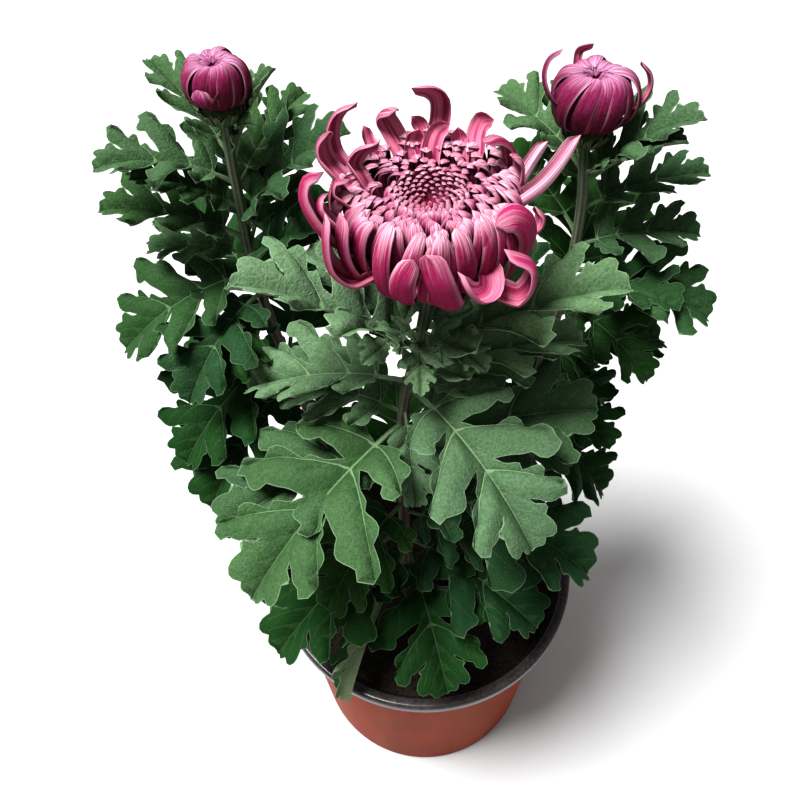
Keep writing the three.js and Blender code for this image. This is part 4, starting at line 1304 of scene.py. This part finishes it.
def petal_section(tree, wanted, share, along, across):
    """Each point's place in its petal's section, to the side and to the back: an arc across the petal, curled
    inwards at its edges, creased along its back, and closing to a rounded tip."""
    arc = (along.between(*PETAL_ARC) * math.pi).sine().between(PETAL_ROOT_WIDTH, 1.0)
    beyond = ((along - (1 - PETAL_ROUNDING)) / PETAL_ROUNDING).math("MAXIMUM", 0.0)
    closing = (ALMOST_ROUND - beyond * beyond).math("SQRT")
    width = wanted["Petal width"] * (share ** WHORL["width_spread"]).between(WHORL["inner_width"], 1.0)
    half = width * 0.5 * arc * closing
    curl = wanted["Channel"] * along.between(*PETAL_CURL)
    turn = across * curl
    outward = carried(tree, "outward")
    thickness = outward * (PETAL_THICKNESS / 2 * MM) * (closing * PETAL_EDGE[0] + PETAL_EDGE[1])
    side = half / curl * turn.sine()
    back = half / curl * (turn.cosine() - 1) + thickness
    crease = across - (carried(tree, "chance_lean") - 0.5) * CREASE_STRAY
    groove = (crease * crease * PETAL_CREASE[1]).math("EXPONENT") * (1 - along.step(*CREASE_END))
    back = back - half * PETAL_CREASE[0] * groove
    twist = (carried(tree, "chance_twist") - 0.5) * 2 * wanted["Twist"] * along * along
    return side * twist.cosine() - back * twist.sine(), side * twist.sine() + back * twist.cosine()


def whorl_tree():
    """Petals set out in the spiral of a seed head, their tips on top of it. Lengths are in metres."""
    sizes = (
        "Radius", "Depth", "Crest inner", "Crest outer", "Tip radius inner", "Tip radius outer",
        "Tip height inner", "Tip height outer", "Petal width", "Core radius", "Core top",
    )
    inputs = {
        "Petals": 50, "Sides": PETAL_SIDES, "Steps": PETAL_STEPS, "Centre": (0.0, 0.0, 0.0),
        **dict.fromkeys(sizes, 0.01), "Tip spread": 0.75, "Channel": 0.8, "Swirl": 0.0, "Lean": 0.16,
        "Twist": 0.45, "Unevenness": 0.09, "Layered": 0.0, "Seed": 1, "Material": "Material",
    }
    tree, wanted, result = new_tree("petal whorl", "GeometryNodeTree", "Geometry", inputs)
    petals = petal_blanks(tree, wanted)
    # Where a petal stands in the whorl, from 0 in the middle to 1 outside.
    share = (carried(tree, "number") + 0.5) / wanted["Petals"]
    petals = stored(tree, petals, "age", share)
    along, across = carried(tree, "along"), carried(tree, "across")
    radius, height, run_out, run_up = petal_path(tree, wanted, share, along)
    side, back = petal_section(tree, wanted, share, along, across)
    lean = (carried(tree, "chance_lean") - 0.5) * 2 * wanted["Lean"] + wanted["Swirl"]
    angle = carried(tree, "number") * GOLDEN_ANGLE + along * along * lean
    out = radius + back * run_up
    x, y, z = parts(tree, wanted["Centre"])
    place = vector(
        tree,
        angle.cosine() * out - angle.sine() * side + x,
        angle.sine() * out + angle.cosine() * side + y,
        height - back * run_out + z,
    )
    shaped = result_of(tree, "GeometryNodeSetPosition", {"Geometry": petals, "Position": place})
    end_tree(tree, shaped, wanted["Material"], result)
    return tree


def whorl(name, tree, head, material, seed, sides=PETAL_SIDES, steps=PETAL_STEPS):
    """A whorl grown from a flower head's row of sizes. A habit that the row leaves out keeps the tree's own
    value."""
    values = {
        "Petals": head["petals"], "Sides": sides, "Steps": steps, "Seed": seed, "Material": material,
        "Centre": [value * MM for value in head["centre"]],
    }
    for size in ("radius", "depth", "petal_width", "core_radius", "core_top"):
        values[label(size)] = head[size] * MM
    for size in ("crest", "tip_radius", "tip_height"):
        inner, outer = head[size]
        values[label(size) + " inner"], values[label(size) + " outer"] = inner * MM, outer * MM
    for habit in ("tip_spread", "channel", "swirl", "lean", "twist", "unevenness", "layered"):
        if habit in head:
            values[label(habit)] = head[habit]
    return grown(name, tree, empty_host(), values)


def label(key):
    """A tree's input is called as the key is, in words."""
    return key.replace("_", " ").capitalize()


def add_loose_petal(patchwork, head, width, through, rolled, rng):
    """A petal that starts in the core, on the side it leans to, and passes through its own points."""
    angle = math.atan2(through[0][1], through[0][0])
    root_radius = head["core_radius"] * LOOSE_ROOT[0]
    root = (
        root_radius * math.cos(angle), root_radius * math.sin(angle),
        mix(-head["depth"], head["core_top"], LOOSE_ROOT[1]),
    )
    line = evenly(smooth_line([root, *through], 10), LOOSE_STEPS + 1) + np.array(head["centre"])
    tangents = unit(np.gradient(line, axis=0))
    side, sides = np.array([-math.sin(angle), math.cos(angle), 0.0]), []
    for tangent in tangents:
        side = unit(side - tangent * side.dot(tangent))
        sides.append(side)
    sides = np.array(sides)
    backs = np.cross(sides, tangents)
    share = np.linspace(0, 1, LOOSE_STEPS + 1)
    arc = mix(PETAL_ROOT_WIDTH, 1, np.sin(math.pi * mix(*LOOSE_ARC, share)))
    beyond = np.maximum(0, (share - (1 - LOOSE_ROUNDING)) / LOOSE_ROUNDING)
    closing = np.sqrt(ALMOST_ROUND - beyond**2)
    half = width / 2 * arc * closing
    curl = LOOSE_CURL[rolled] * mix(*LOOSE_OPENING, share) * rng.uniform(*LOOSE_CHANCE)
    reach = half / np.sin(np.minimum(curl, math.pi / 2))
    angles = around(PETAL_SIDES)
    (crease, narrow), (rib, ribs) = LOOSE_CREASE, LOOSE_RIBS
    lines = []
    for angle in angles:
        across = math.cos(angle)
        turn = across * curl
        sideways = reach * np.sin(turn)
        thickness = math.sin(angle) * PETAL_THICKNESS / 2 * (closing * PETAL_EDGE[0] + PETAL_EDGE[1])
        back = reach * (np.cos(turn) - 1) + thickness
        back = back - half * (crease * math.exp(-((across * narrow) ** 2)) - rib * math.cos(across * ribs))
        lines.append(line + sides * sideways[:, None] + backs * back[:, None])
    patchwork.add(
        *tube(lines),
        along=np.repeat(mix(ROLLED_PALENESS, 1, share) if rolled else share * LOOSE_PALENESS, PETAL_SIDES),
        across=np.tile(np.cos(angles), LOOSE_STEPS + 1),
        inside=np.tile(0.5 - 0.5 * np.sin(angles), LOOSE_STEPS + 1) * (ROLLED_FACE if rolled else 1.0),
        tone=rng.random(),
        age=rng.uniform(*LOOSE_AGES),
    )


def loose_petals(name, head, material):
    """The outer petals of a head that stand or curl apart from its whorl."""
    rng = random.Random("loose " + name)
    patchwork = Patchwork()
    for number, (width, through) in enumerate(head["loose"]):
        add_loose_petal(patchwork, head, width, through, number in head.get("rolled", ()), rng)
    return patchwork.piece("outer_petals_" + name, material)


def turned(name, rings, centre, sides, material):
    """A solid turned about an upright line: rings of (radius, height), closed at both ends."""
    points = [point for radius, height in rings for point in circle(radius, height, sides, centre)]
    return mesh_object(name, points, tube_faces(len(rings), sides), [material])


def flower_core(name, head, material):
    """The solid heart that a head's petals stand out of."""
    seat = -head["depth"] - CORE_SEAT
    rings = smooth_line(
        [
            (radius * head["core_radius"] * CORE_BREADTH, mix(seat, head["core_top"], share))
            for share, radius in CORE_OUTLINE
        ],
        4,
    )
    return turned("heart_" + name, rings, head["centre"], CORE_SIDES, material)


def cup_object(name, head, material):
    """The green cup that a flower head sits on."""
    seat = -head["depth"] - CORE_SEAT - CUP_GAP
    foot = (STEM_RADII[1] * CUP_FOOT[0], seat - CUP_FOOT[1])
    wall = [(head["calyx_radius"] * share, seat - drop) for share, drop in CUP_OUTLINE]
    return turned("cup_" + name, smooth_line([foot, *wall], 5), head["centre"], CUP_SIDES, material)


def bracts(name, tree, head, material):
    """The scales round the cup: a small whorl of its own, pressed against the underside of the petals."""
    reach = head["calyx_radius"]
    x, y, z = head["centre"]
    scales = BRACTS | {
        "centre": (x, y, z - head["depth"] - CORE_SEAT - BRACT_DROP), "core_radius": reach,
        "radius": reach * BRACT_REACH, "tip_radius": [reach * tip for tip in BRACT_TIPS],
    }
    return whorl("bracts_" + name, tree, scales, material, 5)


# ---- pot and soil ----------------------------------------------------------------------------------------

def arc_points(centre, radius, start, end, steps):
    """Points on a round corner, as (radius, height), between two angles in degrees."""
    return [
        (centre[0] + radius * math.cos(math.radians(mix(start, end, step / steps))),
         centre[1] + radius * math.sin(math.radians(mix(start, end, step / steps))))
        for step in range(steps + 1)
    ]


def pot_inside(height):
    """The inner radius of the pot's wall at a height."""
    under = POT["height"] - POT["rim_height"]
    return mix(POT["foot_radius"], POT["shoulder_radius"], height / under) - POT["wall"]


def pot_profile():
    """The pot's half section, from the middle of its underside, up outside and down inside."""
    top, curve, foot = POT["height"], POT["rim_round"], POT["foot_round"]
    under = top - POT["rim_height"]
    outer, inner = POT["rim_radius"], POT["rim_inner_radius"]
    small, recess, (slope, ring) = POT["lip_round"], POT["recess"], POT["recess_edge"]
    wall = [
        (mix(POT["foot_radius"], POT["shoulder_radius"], height / under), height)
        for height in np.linspace(foot, under - small, 12)
    ]
    outside = [
        (0, recess), (POT["foot_radius"] - slope, recess), (POT["foot_radius"] - ring, 0),
        *arc_points((POT["foot_radius"] - foot, foot), foot, -90, 0, 5), *wall,
    ]
    rim = [
        (POT["shoulder_radius"] + small, under),
        *arc_points((outer - small, under + small), small, -90, 0, 3),
        *arc_points((outer - curve, top - curve), curve, 0, 90, 7),
        *arc_points((inner + curve, top - curve), curve, 90, 180, 7),
    ]
    inside = [
        (pot_inside(height), height) for height in np.linspace(under - 1, POT["floor"] + 2, 10)
    ]
    return [*outside, *rim, *inside, (pot_inside(0) - 2, POT["floor"]), (0, POT["floor"])], len(outside)


def pot(brick, dark):
    """The pot, turned from its profile: brick-coloured up to the rim, dark from there on."""
    profile, split = pot_profile()
    sides, count = POT["sides"], len(profile)
    points = [(0, 0, profile[0][1])]
    for radius, height in profile[1:-1]:
        points += circle(radius, height, sides)
    points.append((0, 0, profile[-1][1]))
    faces, kinds = [], []
    for side in range(sides):
        after = (side + 1) % sides
        faces.append((0, 1 + after, 1 + side))
        kinds.append(0)
        for ring in range(count - 3):
            low, high = 1 + ring * sides, 1 + (ring + 1) * sides
            faces.append((low + side, low + after, high + after, high + side))
            kinds.append(0 if ring + 1 < split else 1)
        last = 1 + (count - 3) * sides
        faces.append((len(points) - 1, last + side, last + after))
        kinds.append(1)
    body = mesh_object("pot_body", points, faces, [brick, dark], None, kinds)
    return drilled(body)


def drilled(body):
    """Cuts the drain holes through the pot's floor."""
    drill = Patchwork()
    sides = POT["drill_sides"]
    for centre in circle(POT["drain_circle"], 0, POT["drains"]):
        low, high = (circle(POT["drain_radius"], height, sides, centre) for height in POT["drill"])
        drill.add([*low, *high], tube_faces(2, sides))
    bits = drill.piece("drill", None)
    cut = body.modifiers.new("drains", "BOOLEAN")
    cut.object, cut.operation, cut.solver = bits, "DIFFERENCE", "EXACT"
    mesh = bpy.data.meshes.new_from_object(body.evaluated_get(bpy.context.evaluated_depsgraph_get()))
    mesh.name = "pot_body"
    body.modifiers.remove(cut)
    body.data = mesh
    mesh.set_sharp_from_angle(angle=math.radians(POT["sharp"]))
    bpy.data.objects.remove(bits)
    return body


def soil_height(x, y):
    """The uneven top of the soil: waves about 45 and 20 mm long, and lumps a few millimetres across."""
    long, short = SOIL_WAVES
    waves = long * np.sin(x * 0.11 + y * 0.09 + 1) + short * np.sin(x * 0.23 - y * 0.19)
    lumps = SOIL_LUMPS * np.sin(x * 0.9 + 2 * np.sin(y * 0.7)) * np.cos(y * 1.1 + np.sin(x * 0.8))
    start, span = SOIL_SLOPE
    edge = np.clip((np.hypot(x, y) - start) / span, 0, 1)
    return SOIL_TOP + (waves + lumps) * (1 - edge * SOIL_SMOOTH) - SOIL_EDGE_DROP * edge**2


def soil_body(material):
    """The bed of soil, a little clear of the pot's wall and floor."""
    sides = SOIL_SIDES
    edge = pot_inside(SOIL_TOP - SOIL_EDGE_DROP) - SOIL_GAP
    bottom = POT["floor"] + SOIL_GAP
    angles = around(sides)

    def ring(radius, height=None):
        x, y = radius * np.cos(angles), radius * np.sin(angles)
        return np.stack([x, y, soil_height(x, y) if height is None else np.full(sides, height)], axis=1)

    stack = [ring(pot_inside(bottom) - SOIL_GAP, bottom), ring(edge, SOIL_TOP - SOIL_EDGE_DROP - 1)]
    stack += [ring(radius) for radius in np.linspace(edge, SOIL_MIDDLE, SOIL_RINGS)]
    return mesh_object("soil_body", np.vstack(stack), tube_faces(len(stack), sides), [material])


def scatter_tree(name, hair):
    """Scatters crumbs, or fine hairs, over a surface. Crumbs are turned every way, hairs stand up from it."""
    inputs = {
        "Surface": "Geometry", "Density": 1000.0, "Smallest": 0.0005, "Largest": 0.002, "Seed": 1,
        "Material": "Material",
    }
    tree, wanted, result = new_tree(name, "GeometryNodeTree", "Geometry", inputs)
    spots = add_node(
        tree, "GeometryNodeDistributePointsOnFaces",
        {"Mesh": wanted["Surface"], "Density": wanted["Density"], "Seed": wanted["Seed"]},
    )
    size = result_of(
        tree, "FunctionNodeRandomValue",
        {2: wanted["Smallest"], 3: wanted["Largest"], "Seed": wanted["Seed"] + 3.0}, 1, data_type="FLOAT",
    )
    swing = HAIR_LEAN if hair else math.pi
    turn = result_of(
        tree, "FunctionNodeRandomValue",
        {0: (-swing, -swing, -math.pi), 1: (swing, swing, math.pi), "Seed": wanted["Seed"] + 7.0},
        data_type="FLOAT_VECTOR",
    )
    rotated = result_of(
        tree, "FunctionNodeRotateRotation",
        {0: Formula(tree, spots.outputs["Rotation"]), 1: turn}, rotation_space="LOCAL",
    )
    if hair:
        shape = result_of(
            tree, "GeometryNodeMeshCone",
            {"Vertices": 3, "Radius Top": 0.0, "Radius Bottom": HAIR_ROOT, "Depth": 1.0},
        )
    else:
        shape = result_of(tree, "GeometryNodeMeshIcoSphere", {"Radius": 1.0, "Subdivisions": 1})
    copies = result_of(
        tree, "GeometryNodeInstanceOnPoints",
        {
            "Points": Formula(tree, spots.outputs["Points"]), "Instance": shape, "Rotation": rotated,
            "Scale": size,
        },
    )
    made = result_of(tree, "GeometryNodeRealizeInstances", {"Geometry": copies})
    if not hair:
        noise = result_of(tree, "ShaderNodeTexNoise", {"Scale": CRUMPLE[0], "Detail": 1.0}, 1)
        shift = result_of(
            tree, "ShaderNodeVectorMath", {0: noise, 1: (0.5, 0.5, 0.5)}, operation="SUBTRACT"
        )
        small = result_of(
            tree, "ShaderNodeVectorMath", {0: shift, "Scale": CRUMPLE[1]}, operation="SCALE"
        )
        made = result_of(tree, "GeometryNodeSetPosition", {"Geometry": made, "Offset": small})
    end_tree(tree, made, wanted["Material"], result, smooth=hair)
    return tree


def soil_crumbs(material):
    """Loose crumbs of peat on the soil's top, clear of the pot's wall."""
    sides, rings = CRUMB_BED["sides"], CRUMB_BED["rings"]
    points = [
        (x, y, float(soil_height(x, y)) + CRUMB_BED["lift"])
        for radius in np.linspace(*CRUMB_BED["radii"], rings)
        for x, y, _ in circle(radius, 0, sides)
    ]
    host = mesh_object("crumb_bed", points, tube_faces(rings, sides)[:-2], [material])
    return grown("soil_crumbs", scatter_tree("crumbs", False), host, CRUMBS | {"Material": material})


def stem_down(name, tree, stem_piece, material):
    """The fine hairs that stand out of a stem."""
    host = stem_piece.copy()
    host.data = stem_piece.data.copy()
    bpy.context.scene.collection.objects.link(host)
    return grown("down_" + name, tree, host, HAIRS | {"Material": material})


# ---- scene -----------------------------------------------------------------------------------------------

def set_camera():
    """The camera stands in front of the plant and looks down on it."""
    data = bpy.data.cameras.new("camera")
    data.lens, data.sensor_width, data.clip_start = CAMERA["lens"], CAMERA["sensor"], CAMERA["near"]
    camera = linked("camera", data)
    pitch, roll = (
        Matrix.Rotation(math.radians(CAMERA[turn]), 4, axis) for turn, axis in (("pitch", "X"), ("roll", "Z"))
    )
    camera.matrix_world = Matrix.Translation(CAMERA["place"]) @ pitch @ roll
    bpy.context.scene.camera = camera


def set_light():
    """A large soft light from above, a little to the left, and an even white sky."""
    data = bpy.data.lights.new("key", "AREA")
    data.shape, data.size, data.energy = "DISK", KEY_LIGHT["size"], KEY_LIGHT["power"]
    light = linked("key", data)
    light.location = KEY_LIGHT["place"]
    aim = Vector(KEY_LIGHT["target"]) - Vector(KEY_LIGHT["place"])
    light.rotation_euler = aim.to_track_quat("-Z", "Y").to_euler()
    world = bpy.data.worlds.new("studio")
    bpy.context.scene.world = world
    world.use_nodes = True
    background = world.node_tree.nodes["Background"]
    background.inputs["Color"].default_value = (1.0, 1.0, 1.0, 1.0)
    background.inputs["Strength"].default_value = SKY_STRENGTH


def set_stage():
    """A wide pale floor just under the pot."""
    finish = Finish("floor", Roughness=FLOOR["roughness"])
    finish.set("Base Color", FLOOR["grey"])
    half, low = FLOOR["half"], -FLOOR["drop"]
    corners = [(-half, -half, low), (half, -half, low), (half, half, low), (-half, half, low)]
    mesh_object("floor", corners, [(0, 1, 2, 3)], [finish.material])
    bpy.context.scene.view_settings.view_transform = "Standard"
    bpy.context.scene.view_settings.look = "Medium High Contrast"


def dress():
    """Makes every piece and lays it over the nodes that it stands for."""
    leaf_skin, stem_skin = leaf_finish(), stem_finish()
    # Each petal finish gets its root colour, partly painted shade, its middle colours, and its crest colours,
    # partly a painted highlight.
    open_skin = petal_finish("petal", "700c32", ("76103e", "8a1c4c"), ("dc9cb6", "ecc4d4"))
    closed_skin = petal_finish("young_petal", "4c0622", ("5e0c34", "7a1c4a"), ("ae6c98", "d6a2c4"))
    bract_skin, heart_skin, peat = bract_finish(), core_finish(), peat_finish()
    templates = [leaf_template(seed) for seed in range(LEAF_TEMPLATES)]
    sweep, petals, hairs = stem_tree(), whorl_tree(), scatter_tree("down hairs", True)
    for name, head_name in HEAD_ON_STEM.items():
        node, head = "leafy_stem_" + name, HEADS[head_name]
        petal_skin = open_skin if name == "front" else closed_skin
        finish_piece(leaves(name, templates, leaf_skin), "foliage", node)
        stalk = stem(name, sweep, stem_skin)
        finish_piece(stalk, "foliage", node)
        finish_piece(stem_down(name, hairs, stalk, stem_skin), "foliage", node)
        finish_piece(cup_object(head_name, head, bract_skin), "foliage", node)
        finish_piece(bracts(head_name, petals, head, bract_skin), "foliage", node)
        finish_piece(flower_core(head_name, head, heart_skin), "petals", head_name)
        finish_piece(whorl("whorl_" + head_name, petals, head, petal_skin, 2), "petals", head_name)
        finish_piece(loose_petals(head_name, head, petal_skin), "petals", head_name)
    florets = whorl("florets", petals, FLORETS, open_skin, 3, FLORET_SIDES, FLORET_STEPS)
    finish_piece(florets, "petals", "bloom_front")
    finish_piece(pot(clay_plastic_finish(), dark_plastic_finish()), "pot_plastic", "pot")
    finish_piece(soil_body(peat), "peat", "soil")
    finish_piece(soil_crumbs(peat), "peat", "soil")


set_camera()
set_light()
set_stage()
dress()
